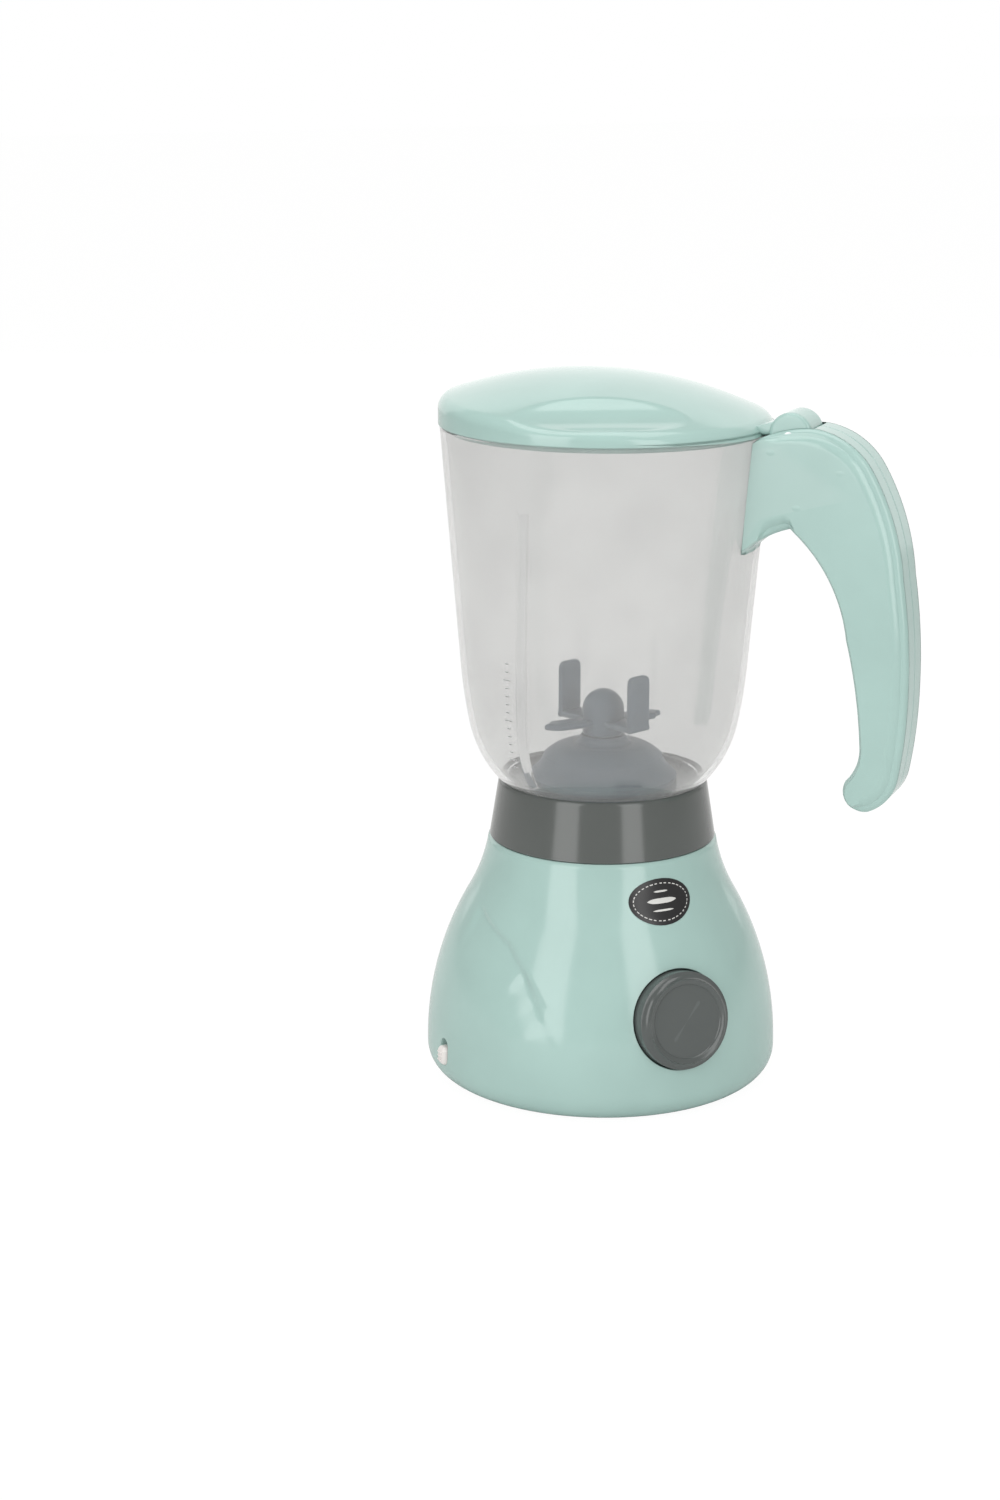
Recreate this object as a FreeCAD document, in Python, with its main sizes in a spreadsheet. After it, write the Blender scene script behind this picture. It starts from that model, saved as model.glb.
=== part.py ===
import FreeCAD, Part
import math
import os
import Sketcher
from FreeCAD import Placement, Rotation, Vector

# Toy blender: a battery base with a push button and a switch, a clear lift-off jug with a
# handle, turning blades and a hinged lid. Millimetres, +Z up, the button faces -Y, and the
# origin lies on the table under the drive axis.

doc = FreeCAD.newDocument("toy_blender")

# Driving sizes

SIZES = (
    # base shell
    ("base_radius", 54.9, "largest radius of the base"),
    ("base_edge", 8.0, "rounding of the bottom edge of the base"),
    ("base_bow", 97.0, "radius of the bulging side"),
    ("waist_radius", 42.0, "base radius where the bulge turns into the neck"),
    ("waist_height", 57.5, "height of that place"),
    ("neck_bow", 55.0, "radius of the hollow neck"),
    ("deck_radius", 35.6, "radius of the deck that carries the collar"),
    ("deck_height", 76.0, "height of the deck"),
    ("deck_chamfer", 0.8, "edge of the deck"),
    ("shell_wall", 2.2, "wall of the base shell"),
    ("floor_hole", 44.4, "radius of the hole that the base plate closes"),
    ("deck_bore", 7.0, "radius of the hole for the drive coupling"),
    ("column_circle", 39.5, "circle of the base screw columns"),
    ("column_radius", 3.4, "radius of a base screw column"),
    ("column_drop", 3.5, "how far the columns end below the waist"),
    # fits
    ("seat_gap", 0.1, "gap between parts that rest on each other"),
    ("loose_gap", 0.3, "gap round a closed cover"),
    ("turn_gap", 0.05, "running clearance on a shaft or pin"),
    # base plate and battery bay
    ("plate_lift", 0.8, "base plate above the table"),
    ("plate_thick", 2.6, "base plate"),
    ("cell_radius", 7.1, "AA cell"),
    ("cell_length", 49.0, "AA cell without its nub"),
    ("nub_radius", 2.6, "nub of a cell"),
    ("nub_length", 1.2, "nub of a cell"),
    ("cell_gap", 0.6, "gap between the two cells"),
    ("spring_room", 2.6, "length of a pressed cell spring"),
    ("contact_thick", 0.5, "battery contact sheet"),
    ("bay_gap", 0.4, "gap round the cells"),
    ("bay_wall", 2.0, "walls of the battery bay"),
    ("door_thick", 1.3, "battery door"),
    ("door_reach", 7.0, "door beyond the bay at each end"),
    ("door_side", 1.2, "door beyond the bay at each side"),
    ("door_screw_reach", 4.2, "door screw beyond the bay"),
    # screws
    ("screw_radius", 1.25, "thread of every screw"),
    ("screw_head", 2.4, "head of every screw"),
    ("head_thick", 1.0, "head of every screw"),
    ("base_screw_length", 11.0, "base screw under its head"),
    ("door_screw_length", 6.0, "door screw under its head"),
    # drive
    ("gear_module", 0.6, "module of all gears"),
    ("pinion_teeth", 8.0, "motor pinion"),
    ("idler_teeth", 30.0, "large idler gear"),
    ("idler_small_teeth", 12.0, "small idler gear"),
    ("drive_teeth", 36.0, "drive gear"),
    ("frame_base", 47.8, "underside of the lower gearbox plate"),
    ("frame_thick", 2.2, "lower gearbox plate"),
    ("frame_height", 12.0, "posts between the gearbox plates"),
    ("frame_top_thick", 2.0, "upper gearbox plate"),
    ("frame_radius", 26.0, "gearbox plates"),
    ("post_circle", 22.0, "circle of the gearbox posts"),
    ("post_radius", 2.8, "gearbox post"),
    ("motor_radius", 10.0, "motor can"),
    ("motor_flat", 15.0, "motor can across its flats"),
    ("motor_length", 25.0, "motor can"),
    ("motor_nose", 3.0, "radius of the motor nose"),
    ("motor_shaft", 1.0, "radius of the motor shaft"),
    ("idler_pin", 1.2, "radius of the idler pin"),
    ("drive_shaft", 1.5, "radius of the drive shaft"),
    ("bush_radius", 3.2, "shaft bushes"),
    ("pinion_width", 5.0, "face of the motor pinion"),
    ("gear_width", 2.6, "face of the large idler gear"),
    ("small_width", 6.0, "face of the small idler gear"),
    ("drive_width", 3.4, "face of the drive gear"),
    ("dog_disc", 8.5, "radius of the drive coupling"),
    ("dog_disc_thick", 2.0, "disc of the drive coupling"),
    ("dog_height", 4.0, "dogs of the drive coupling"),
    ("dog_neck", 5.4, "neck of the drive coupling in the deck"),
    # collar
    ("collar_foot", 35.1, "collar radius at the deck"),
    ("collar_top", 32.4, "collar radius at its top"),
    ("collar_height", 18.7, "collar"),
    ("collar_round", 1.2, "rounding of the collar's top edge"),
    ("collar_bore", 30.3, "collar bore"),
    ("collar_flange", 25.0, "bore of the collar's inner flange"),
    ("flange_thick", 1.8, "inner flange of the collar"),
    ("collar_screw_circle", 28.0, "circle of the collar screws"),
    # button, at the front
    ("button_height", 31.0, "centre of the button"),
    ("button_tilt", 10.0, "button axis above level, degrees"),
    ("button_radius", 14.9, "button cap"),
    ("button_out", 4.2, "button cap proud of the base"),
    ("button_gap", 0.55, "gap round the button cap"),
    ("button_skirt", 7.0, "button cap below the surface of the base"),
    ("button_travel", 2.8, "stroke of the button"),
    ("button_round", 2.4, "rounding of the button's edge"),
    ("button_dish", 0.7, "dish in the button's face"),
    ("cap_wall", 1.7, "wall of the button cap"),
    ("well_wall", 1.8, "wall of the button well"),
    ("well_depth", 11.0, "floor of the button well below the surface"),
    ("stem_radius", 2.8, "button stem"),
    ("stem_end", 16.0, "end of the stem below the surface"),
    ("coil_radius", 4.6, "button spring"),
    ("wire_radius", 0.4, "wire of the button spring"),
    ("tact_size", 6.0, "push switch"),
    ("tact_depth", 4.5, "push switch"),
    ("tact_plunger", 1.4, "plunger of the push switch"),
    ("board_width", 22.0, "switch board"),
    ("board_rise", 12.0, "switch board"),
    ("board_thick", 1.2, "switch board"),
    # slide switch, at the left
    ("slider_height", 10.9, "centre of the slider at rest"),
    ("slider_travel", 2.2, "stroke of the slider"),
    ("slider_width", 4.6, "slider"),
    ("slider_rise", 6.0, "slider"),
    ("slider_out", 1.8, "slider proud of the base"),
    ("slider_flange", 8.0, "hidden flange of the slider"),
    ("slide_body_depth", 6.0, "slide switch body"),
    ("slide_body_rise", 12.0, "slide switch body"),
    # badge
    ("badge_height", 64.5, "centre of the oval badge"),
    ("badge_width", 21.0, "oval badge"),
    ("badge_rise", 13.2, "oval badge"),
    ("badge_thick", 0.4, "oval badge"),
    # jug
    ("jug_turn", 42.0, "handle from the front, degrees"),
    ("jug_foot", 29.7, "radius of the jug foot"),
    ("foot_length", 10.8, "jug foot below its shoulder"),
    ("shoulder_radius", 32.4, "jug radius above the collar"),
    ("hip_radius", 41.5, "jug radius at the end of its lower curve"),
    ("hip_height", 17.7, "that place above the shoulder"),
    ("hip_bow", 36.2, "radius of the lower curve"),
    ("belly_radius", 44.0, "jug radius where the straight side begins"),
    ("belly_height", 35.2, "that place above the shoulder"),
    ("belly_bow", 154.0, "radius of the upper curve"),
    ("rim_radius", 50.2, "jug radius at its rim"),
    ("jug_height", 109.4, "rim above the shoulder"),
    ("jug_wall", 1.8, "wall of the jug"),
    ("jug_floor", 2.0, "floor of the jug"),
    ("lug_thick", 3.2, "lug of the jug inside the handle"),
    ("lug_reach", 19.0, "lug beyond the rim radius"),
    ("lug_rise", 21.0, "lug"),
    ("lug_drop", 8.5, "top of the lug under the rim"),
    # blades
    ("seat_radius", 23.0, "foot of the blade seat"),
    ("seat_foot", 1.6, "foot of the blade seat"),
    ("cone_radius", 18.4, "shoulder of the seat cone"),
    ("cone_height", 7.6, "shoulder of the seat cone"),
    ("cone_bow", 12.0, "curves of the seat cone"),
    ("neck_radius", 7.4, "neck of the seat"),
    ("neck_height", 14.0, "top of the neck above the jug floor"),
    ("stub_radius", 11.0, "threaded stub under the seat"),
    ("stub_length", 6.0, "threaded stub under the jug floor's top"),
    ("nut_radius", 16.5, "ring nut"),
    ("nut_thick", 3.4, "ring nut"),
    ("spindle_radius", 2.0, "blade spindle"),
    ("bush_wall", 1.6, "wall of the spindle bush"),
    ("hub_radius", 6.4, "blade hub"),
    ("hub_rise", 7.8, "cylindrical part of the hub"),
    ("blade_thick", 2.0, "blades"),
    ("blade_width", 8.5, "blades"),
    ("upright_reach", 15.0, "upright blades from the axis"),
    ("upright_rise", 21.0, "top of the upright blades above the neck"),
    ("flat_reach", 20.5, "flat blades from the axis"),
    ("blade_lift", 3.4, "underside of the blades above the neck"),
    ("upright_turn", 17.0, "upright blades from the front, degrees"),
    ("flat_turn", 75.0, "flat blades from the upright ones, degrees"),
    ("cup_radius", 10.6, "jug coupling"),
    # handle, seen from the side with the jug axis at the left
    ("handle_half", 8.6, "half thickness at the handle's edge"),
    ("panel_rise", 1.4, "raised side panel of the handle"),
    ("panel_inset", 3.4, "side panel inside the outline"),
    ("handle_wall", 2.0, "wall of the handle shells"),
    ("boss_radius", 3.2, "screw bosses in the handle"),
    # hinge and lid
    ("hinge_reach", 59.5, "hinge axis from the jug axis"),
    ("hinge_lift", 0.8, "hinge axis above the rim"),
    ("pin_radius", 1.25, "hinge pin"),
    ("barrel_radius", 6.6, "barrel of the lid hinge"),
    ("barrel_width", 13.6, "barrel of the lid hinge"),
    ("tongue_thick", 5.6, "tongue between the lid and its barrel"),
    ("lid_radius", 50.7, "lid"),
    ("lid_crown", 16.0, "top of the lid above its underside"),
    ("lid_bow", 128.0, "radius of the dome"),
    ("lid_shift", 7.0, "top of the dome away from the handle"),
    ("lid_wall", 1.8, "lid"),
    ("skirt_gap", 0.75, "gap between the lid skirt and the jug"),
    ("skirt_wall", 1.5, "lid skirt"),
    ("skirt_drop", 4.8, "lid skirt below the rim"),
    ("scoop_radius", 26.0, "finger scoops in the lid"),
    ("scoop_reach", 47.0, "scoop axis from the jug axis"),
    ("scoop_floor", 5.2, "lowest line of a scoop above the lid's underside"),
    ("scoop_turn", 68.0, "scoops from the handle, degrees"),
)

sheet = doc.addObject("Spreadsheet::Sheet", "Sizes")


class Size:
    """A size with its number and the sheet expression that gives it."""

    def __init__(self, number, text=None):
        self.number = float(number)
        self.text = repr(float(number)) if text is None else text

    def __add__(self, other):
        other = as_size(other)
        return Size(self.number + other.number, f"({self.text} + {other.text})")

    def __sub__(self, other):
        other = as_size(other)
        return Size(self.number - other.number, f"({self.text} - {other.text})")

    def __mul__(self, other):
        other = as_size(other)
        return Size(self.number * other.number, f"({self.text} * {other.text})")

    def __truediv__(self, other):
        other = as_size(other)
        return Size(self.number / other.number, f"({self.text} / {other.text})")

    def __neg__(self):
        return Size(-self.number, f"(0 - {self.text})")

    __radd__ = __add__
    __rmul__ = __mul__

    def __rsub__(self, other):
        return as_size(other) - self


def as_size(value):
    return value if isinstance(value, Size) else Size(value)


def number(value):
    return as_size(value).number


def cosine(degrees):
    degrees = as_size(degrees)
    return Size(math.cos(math.radians(degrees.number)), f"cos({degrees.text} * 1 deg)")


def sine(degrees):
    degrees = as_size(degrees)
    return Size(math.sin(math.radians(degrees.number)), f"sin({degrees.text} * 1 deg)")


for row, (alias, value, meaning) in enumerate(SIZES, start=1):
    sheet.set(f"A{row}", meaning)
    sheet.set(f"B{row}", str(value))
    sheet.setAlias(f"B{row}", alias)
doc.recompute()
d = {alias: Size(sheet.get(alias), f"Sizes.{alias}") for alias, value, meaning in SIZES}

# Building helpers

nodes = []


def node(obj, label):
    """Keep an object as a named sub-part."""
    obj.Label = label
    nodes.append(obj)
    return obj


def bind(obj, prop, value):
    setattr(obj, prop, number(value))
    if isinstance(value, Size):
        obj.setExpression(prop, value.text)


def place(obj, x=0, y=0, z=0, rotation=None):
    obj.Placement = Placement(Vector(number(x), number(y), number(z)), rotation or Rotation())
    for axis, value in zip("xyz", (x, y, z)):
        if isinstance(value, Size):
            obj.setExpression(f"Placement.Base.{axis}", value.text)
    return obj


def cylinder(name, radius, height, x=0, y=0, z=0, rotation=None):
    obj = doc.addObject("Part::Cylinder", name)
    bind(obj, "Radius", radius)
    bind(obj, "Height", height)
    return place(obj, x, y, z, rotation)


def cone(name, radius, top_radius, height, x=0, y=0, z=0, rotation=None):
    obj = doc.addObject("Part::Cone", name)
    bind(obj, "Radius1", radius)
    bind(obj, "Radius2", top_radius)
    bind(obj, "Height", height)
    return place(obj, x, y, z, rotation)


def sphere(name, radius, x=0, y=0, z=0):
    obj = doc.addObject("Part::Sphere", name)
    bind(obj, "Radius", radius)
    return place(obj, x, y, z)


def block(name, x, y, z):
    """Box between two coordinates on each axis, given as pairs."""
    obj = doc.addObject("Part::Box", name)
    for prop, (low, high) in zip(("Length", "Width", "Height"), (x, y, z)):
        bind(obj, prop, as_size(high) - low)
    return place(obj, as_size(x[0]), as_size(y[0]), as_size(z[0]))


def fuse(name, *shapes):
    obj = doc.addObject("Part::MultiFuse", name)
    obj.Shapes = list(shapes)
    return obj


def common(name, *shapes):
    obj = doc.addObject("Part::MultiCommon", name)
    obj.Shapes = list(shapes)
    return obj


def cut(name, base, *tools):
    obj = doc.addObject("Part::Cut", name)
    obj.Base = base
    obj.Tool = tools[0] if len(tools) == 1 else fuse(f"{name}_tools", *tools)
    return obj


def group(name, shapes):
    obj = doc.addObject("Part::Compound", name)
    obj.Links = list(shapes)
    return obj


def turned(obj, degrees):
    """Turn a finished object about the drive axis."""
    obj.Label = f"{obj.Label}_unturned"
    spin = Placement(Vector(), Rotation(Vector(0, 0, 1), number(degrees)))
    holder = doc.addObject("Part::Compound", f"{obj.Name}_turned")
    holder.Links = [obj]
    holder.Placement = spin
    return holder


def ring(name, outer, inner, height, x=0, y=0, z=0, rotation=None):
    wall = cylinder(f"{name}_outer", outer, height, x, y, z, rotation)
    bore = cylinder(f"{name}_bore", inner, height, x, y, z, rotation)
    return cut(name, wall, bore)


def draw(sketch, points):
    """Close an outline; a point is (across, up) or (across, up, radius of the arc after it).

    A positive radius bulges to the left of the way the outline runs."""
    spots = [Vector(number(p[0]), number(p[1]), 0) for p in points]
    count = len(points)
    starts, ends = [], []
    for i, point in enumerate(points):
        a, b = spots[i], spots[(i + 1) % count]
        if len(point) == 2:
            sketch.addGeometry(Part.LineSegment(a, b))
            starts.append(1)
            ends.append(2)
            continue
        radius = abs(number(point[2]))
        side = 1 if number(point[2]) > 0 else -1
        chord = b - a
        normal = Vector(-chord.y, chord.x, 0).normalize()
        depth = math.sqrt(max(radius ** 2 - (chord.Length / 2) ** 2, 0.0))
        centre = (a + b) * 0.5 - normal * (side * depth)
        circle = Part.Circle(centre, Vector(0, 0, 1), radius)
        first, last = (b, a) if side > 0 else (a, b)
        angles = [math.atan2(v.y - centre.y, v.x - centre.x) for v in (first, last)]
        sketch.addGeometry(Part.ArcOfCircle(circle, angles[0], angles[1]))
        starts.append(2 if side > 0 else 1)
        ends.append(1 if side > 0 else 2)
    for i, point in enumerate(points):
        after = (i + 1) % count
        sketch.addConstraint(Sketcher.Constraint("Coincident", i, ends[i], after, starts[after]))
        for kind, axis, value in (("DistanceX", -2, point[0]), ("DistanceY", -1, point[1])):
            if not isinstance(value, Size) and value == 0:
                sketch.addConstraint(Sketcher.Constraint("PointOnObject", i, starts[i], axis))
                continue
            index = sketch.addConstraint(
                Sketcher.Constraint(kind, -1, 1, i, starts[i], number(value)))
            if isinstance(value, Size):
                sketch.setExpression(f"Constraints[{index}]", value.text)
        if len(point) == 3:
            radius = point[2] if number(point[2]) > 0 else -as_size(point[2])
            index = sketch.addConstraint(Sketcher.Constraint("Radius", i, number(radius)))
            sketch.setExpression(f"Constraints[{index}]", as_size(radius).text)


def body_sketch(body, plane, points):
    sketch = body.newObject("Sketcher::SketchObject", f"{body.Name}_outline")
    support = [f for f in body.Origin.OriginFeatures if f.Role == plane][0]
    sketch.AttachmentSupport = [(support, "")]
    sketch.MapMode = "FlatFace"
    draw(sketch, points)
    return sketch


def revolved(name, points):
    """Body turned about the vertical axis from an outline of (radius, height)."""
    body = doc.addObject("PartDesign::Body", name)
    sketch = body_sketch(body, "XZ_Plane", points)
    turn = body.newObject("PartDesign::Revolution", f"{name}_turn")
    turn.Profile = sketch
    turn.ReferenceAxis = (sketch, ["V_Axis"])
    turn.Angle = 360
    return body


def flat_body(name, plane, points, thickness):
    """Body of even thickness, half of it on each side of an origin plane."""
    body = doc.addObject("PartDesign::Body", name)
    pad = body.newObject("PartDesign::Pad", f"{name}_pad")
    pad.Profile = body_sketch(body, plane, points)
    pad.SideType = "Symmetric"
    bind(pad, "Length", thickness)
    return body


def polar(count, circle, start=0.0):
    """Places on a circle about the drive axis, as pairs of sizes."""
    return [(circle * cosine(start + 360.0 * i / count), circle * sine(start + 360.0 * i / count))
            for i in range(count)]


LEVEL_FRONT = Rotation(Vector(1, 0, 0), 90)
LEVEL_RIGHT = Rotation(Vector(0, 1, 0), 90)


def screw(name, x, y, z, length, rotation=None):
    """Pan head screw whose head rests at the given place, its shank running up."""
    shank = cylinder(f"{name}_shank", d["screw_radius"], length, x, y, z, rotation)
    down = (rotation or Rotation()).multVec(Vector(0, 0, -1))
    head = cylinder(f"{name}_head", d["screw_head"], d["head_thick"], rotation=rotation,
                    x=x + d["head_thick"] * down.x, y=y + d["head_thick"] * down.y,
                    z=z + d["head_thick"] * down.z)
    return fuse(name, shank, head)


# Base shell

plate_top = d["plate_lift"] + d["plate_thick"]
deck_under = d["deck_height"] - d["shell_wall"]
deck_corner = d["deck_height"] - d["deck_chamfer"]
foot_radius = d["base_radius"] - d["base_edge"]
pilot = d["screw_radius"] + d["turn_gap"]

OUTER = [
    (foot_radius, 0, -d["base_edge"]),
    (d["base_radius"], d["base_edge"], -d["base_bow"]),
    (d["waist_radius"], d["waist_height"], d["neck_bow"]),
    (d["deck_radius"], deck_corner),
    (d["deck_radius"] - d["deck_chamfer"], d["deck_height"]),
]
base_envelope = revolved("base_envelope", OUTER + [(0, d["deck_height"]), (0, 0)])
shell = revolved("base_shell", OUTER + [
    (d["deck_bore"], d["deck_height"]),
    (d["deck_bore"], deck_under),
    (d["deck_radius"] - d["shell_wall"], deck_under, -(d["neck_bow"] + d["shell_wall"])),
    (d["waist_radius"] - d["shell_wall"], d["waist_height"], d["base_bow"] - d["shell_wall"]),
    (d["base_radius"] - d["shell_wall"], d["base_edge"], d["base_edge"] - d["shell_wall"]),
    (foot_radius, d["shell_wall"]),
    (d["floor_hole"], d["shell_wall"]),
    (d["floor_hole"], 0),
])

# Where the button axis leaves the base, from the bulge's circle through its two ends
bulge_lean = (d["button_height"] - d["base_edge"])
button_face = d["base_radius"] - bulge_lean * bulge_lean / (d["base_bow"] * 2)
BUTTON_TURN = Rotation(Vector(1, 0, 0), 90 - number(d["button_tilt"]))
out_y = -cosine(d["button_tilt"])
out_z = sine(d["button_tilt"])


def on_button_axis(out, side=0):
    """Point on the button axis, given by how far it is proud of the base."""
    return {"x": side, "y": out_y * out - button_face, "z": out_z * out + d["button_height"]}


def button_cylinder(name, radius, low, high, side=0):
    return cylinder(name, radius, as_size(high) - low, rotation=BUTTON_TURN,
                    **on_button_axis(as_size(low), side))


hole_radius = d["button_radius"] + d["button_gap"]
well_outer = button_cylinder("well_outer", hole_radius + d["well_wall"],
                             -(d["well_depth"] + d["well_wall"]), d["button_out"])
well = common("button_well", well_outer, base_envelope)
tact_face = -(d["stem_end"] + d["button_travel"] + d["seat_gap"])
tact_back = tact_face - d["tact_plunger"] - d["tact_depth"]
board_post_side = d["board_width"] / 2 - d["screw_head"]
board_posts = [button_cylinder(f"board_post{i}", d["screw_head"], tact_back,
                               -d["well_depth"] - d["well_wall"] / 2, side)
               for i, side in enumerate((-board_post_side, board_post_side))]

columns = [cylinder(f"column{i}", d["column_radius"],
                    d["waist_height"] - d["column_drop"] - plate_top, x, y, plate_top)
           for i, (x, y) in enumerate(polar(4, d["column_circle"], 45))]
column_bores = [cylinder(f"column_bore{i}", pilot, d["base_screw_length"] + 1, x, y, plate_top)
                for i, (x, y) in enumerate(polar(4, d["column_circle"], 45))]

frame_top = d["frame_base"] + d["frame_thick"] + d["frame_height"] + d["frame_top_thick"]
post_places = polar(4, d["post_circle"], 45)
deck_bosses = [cylinder(f"deck_boss{i}", d["post_radius"], deck_under - frame_top + d["shell_wall"] / 2,
                        x, y, frame_top)
               for i, (x, y) in enumerate(post_places)]
deck_boss_bores = [cylinder(f"deck_boss_bore{i}", pilot, deck_under - frame_top, x, y, frame_top)
                   for i, (x, y) in enumerate(post_places)]

slider_face = -(d["base_radius"] + d["slider_out"] - d["seat_gap"])
wall_inside = d["base_radius"] - d["shell_wall"] - d["slider_height"] / 10
shelf_top = d["slider_height"] - d["slide_body_rise"] / 2 + d["slider_travel"] / 2 - d["seat_gap"]
shelf = block("switch_shelf", (-(wall_inside - d["slider_out"]), -(d["floor_hole"] + d["seat_gap"])),
              (-d["slider_flange"] * 0.75, d["slider_flange"] * 0.75),
              (d["shell_wall"] / 2, shelf_top))
slot = block("slider_slot", (slider_face - 1, -(d["floor_hole"] + d["slider_out"])),
             (-(d["slider_width"] / 2 + d["loose_gap"]), d["slider_width"] / 2 + d["loose_gap"]),
             (d["slider_height"] - d["slider_rise"] / 2 - d["loose_gap"],
              d["slider_height"] + d["slider_rise"] / 2 + d["slider_travel"] + d["loose_gap"]))

collar_screw_places = polar(3, d["collar_screw_circle"])
collar_screw_holes = [cylinder(f"collar_hole{i}", pilot, d["shell_wall"], x, y, deck_under)
                      for i, (x, y) in enumerate(collar_screw_places)]
button_hole = button_cylinder("button_hole", hole_radius, -d["well_depth"], d["button_out"] * 3)
stem_hole = button_cylinder("stem_hole", d["stem_radius"] + d["turn_gap"] * 2,
                            -(d["well_depth"] + d["well_wall"]), 0)
board_bores = [button_cylinder(f"board_bore{i}", pilot, tact_back, tact_back + d["door_screw_length"],
                               side)
               for i, side in enumerate((-board_post_side, board_post_side))]
solid_base = fuse("base_solid", shell, well, shelf, *board_posts, *columns, *deck_bosses)
node(cut("base_housing", solid_base, button_hole, stem_hole, slot, *column_bores,
         *deck_boss_bores, *collar_screw_holes, *board_bores), "base_housing")

# Base plate, battery bay and door

bay_x = d["cell_length"] + d["nub_length"] + d["spring_room"] + d["contact_thick"] * 2 \
    + d["bay_gap"]
bay_y = d["cell_radius"] * 4 + d["cell_gap"] + d["bay_gap"] * 4
bay_floor = d["plate_lift"] + d["door_thick"] + d["seat_gap"]
cell_height = bay_floor + d["bay_gap"] + d["cell_radius"]
bay_top = cell_height + d["cell_radius"] + d["bay_gap"] * 2
half_x, half_y = bay_x / 2, bay_y / 2
door_x, door_y = half_x + d["door_reach"], half_y + d["door_side"]
door_screws = [(side * (half_x + d["door_screw_reach"]), 0) for side in (-1, 1)]

plate_disc = cylinder("plate_disc", d["floor_hole"] - d["loose_gap"], d["plate_thick"],
                      z=d["plate_lift"])
bay_box = block("bay_box", (-(half_x + d["bay_wall"]), half_x + d["bay_wall"]),
                (-(half_y + d["bay_wall"]), half_y + d["bay_wall"]),
                (d["plate_lift"], bay_top + d["bay_wall"]))
door_bosses = [cylinder(f"door_boss{i}", d["post_radius"], d["door_screw_length"], x, y, plate_top)
               for i, (x, y) in enumerate(door_screws)]
bay_room = block("bay_room", (-half_x, half_x), (-half_y, half_y), (0, bay_top))
door_room = block("door_room", (-(door_x + d["loose_gap"]), door_x + d["loose_gap"]),
                  (-(door_y + d["loose_gap"]), door_y + d["loose_gap"]), (0, bay_floor))
door_pilots = [cylinder(f"door_pilot{i}", pilot, d["door_screw_length"] + d["plate_thick"], x, y,
                        bay_floor) for i, (x, y) in enumerate(door_screws)]
plate_head_room = d["head_thick"] + d["seat_gap"] * 2
plate_holes = [cylinder(f"plate_hole{i}", pilot, plate_top, x, y)
               for i, (x, y) in enumerate(polar(4, d["column_circle"], 45))]
head_rooms = [cylinder(f"head_room{i}", d["screw_head"] + d["loose_gap"],
                       d["plate_lift"] + plate_head_room, x, y)
              for i, (x, y) in enumerate(polar(4, d["column_circle"], 45))]
node(cut("base_plate", fuse("plate_solid", plate_disc, bay_box, *door_bosses), bay_room, door_room,
         *door_pilots, *plate_holes, *head_rooms), "base_plate")
node(group("base_screws", [
    screw(f"base_screw{i}", x, y, d["plate_lift"] + plate_head_room - d["seat_gap"],
          d["base_screw_length"])
    for i, (x, y) in enumerate(polar(4, d["column_circle"], 45))]), "base_screws")

door_slab = block("door_slab", (-door_x, door_x), (-door_y, door_y),
                  (d["plate_lift"], d["plate_lift"] + d["door_thick"]))
door_head_top = d["plate_lift"] + d["door_thick"] * 0.7
door_cuts = [cylinder(f"door_hole{i}", pilot, plate_top, x, y)
             for i, (x, y) in enumerate(door_screws)]
door_cuts += [cylinder(f"door_head_room{i}", d["screw_head"] + d["turn_gap"], door_head_top, x, y)
              for i, (x, y) in enumerate(door_screws)]
node(cut("battery_door", door_slab, *door_cuts), "battery_door")


def flush_screw(name, x, y, z, length, thick):
    """Screw with a thin head under the given height."""
    shank = cylinder(f"{name}_shank", d["screw_radius"], length, x, y, z)
    head = cylinder(f"{name}_head", d["screw_head"], thick, x, y, z - thick)
    return fuse(name, shank, head)


node(group("battery_door_screws", [
    flush_screw(f"door_screw{i}", x, y, door_head_top, d["door_screw_length"], d["door_thick"] * 0.6)
    for i, (x, y) in enumerate(door_screws)]), "battery_door_screws")

cell_side = d["cell_radius"] + d["cell_gap"] / 2
contact_face = half_x - d["contact_thick"]
for way, label in ((1, "battery_cell_front"), (-1, "battery_cell_rear")):
    nub_tip = (contact_face - d["turn_gap"]) * way
    x_turn = LEVEL_RIGHT if way > 0 else Rotation(Vector(0, 1, 0), -90)
    start = nub_tip - (d["cell_length"] + d["nub_length"]) * way
    can = cylinder(f"{label}_can", d["cell_radius"], d["cell_length"], start, -cell_side * way,
                   cell_height, x_turn)
    nub = cylinder(f"{label}_nub", d["nub_radius"], d["cell_length"] + d["nub_length"], start,
                   -cell_side * way, cell_height, x_turn)
    node(fuse(label, can, nub), label)

contact_rise = (cell_height - d["cell_radius"] * 0.8, cell_height + d["cell_radius"] * 0.8)
sheets = [block("bridge_contact", (-half_x, -contact_face), (-(half_y - 1), half_y - 1), contact_rise)]
for way in (-1, 1):
    sheets.append(block(f"end_contact{way + 1}", (contact_face, half_x),
                        (cell_side * way - d["cell_radius"] * 0.8,
                         cell_side * way + d["cell_radius"] * 0.8), contact_rise))
node(group("battery_contacts", sheets), "battery_contacts")
springs = []
for way in (-1, 1):
    x_turn = LEVEL_RIGHT if way > 0 else Rotation(Vector(0, 1, 0), -90)
    springs.append(cone(f"cell_spring{way + 1}", d["nub_radius"] * 1.6, d["nub_radius"],
                        d["spring_room"] - d["turn_gap"] * 2, -contact_face * way,
                        -cell_side * way, cell_height, x_turn))
node(group("battery_springs", springs), "battery_springs")

# Motor and gearbox

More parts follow.
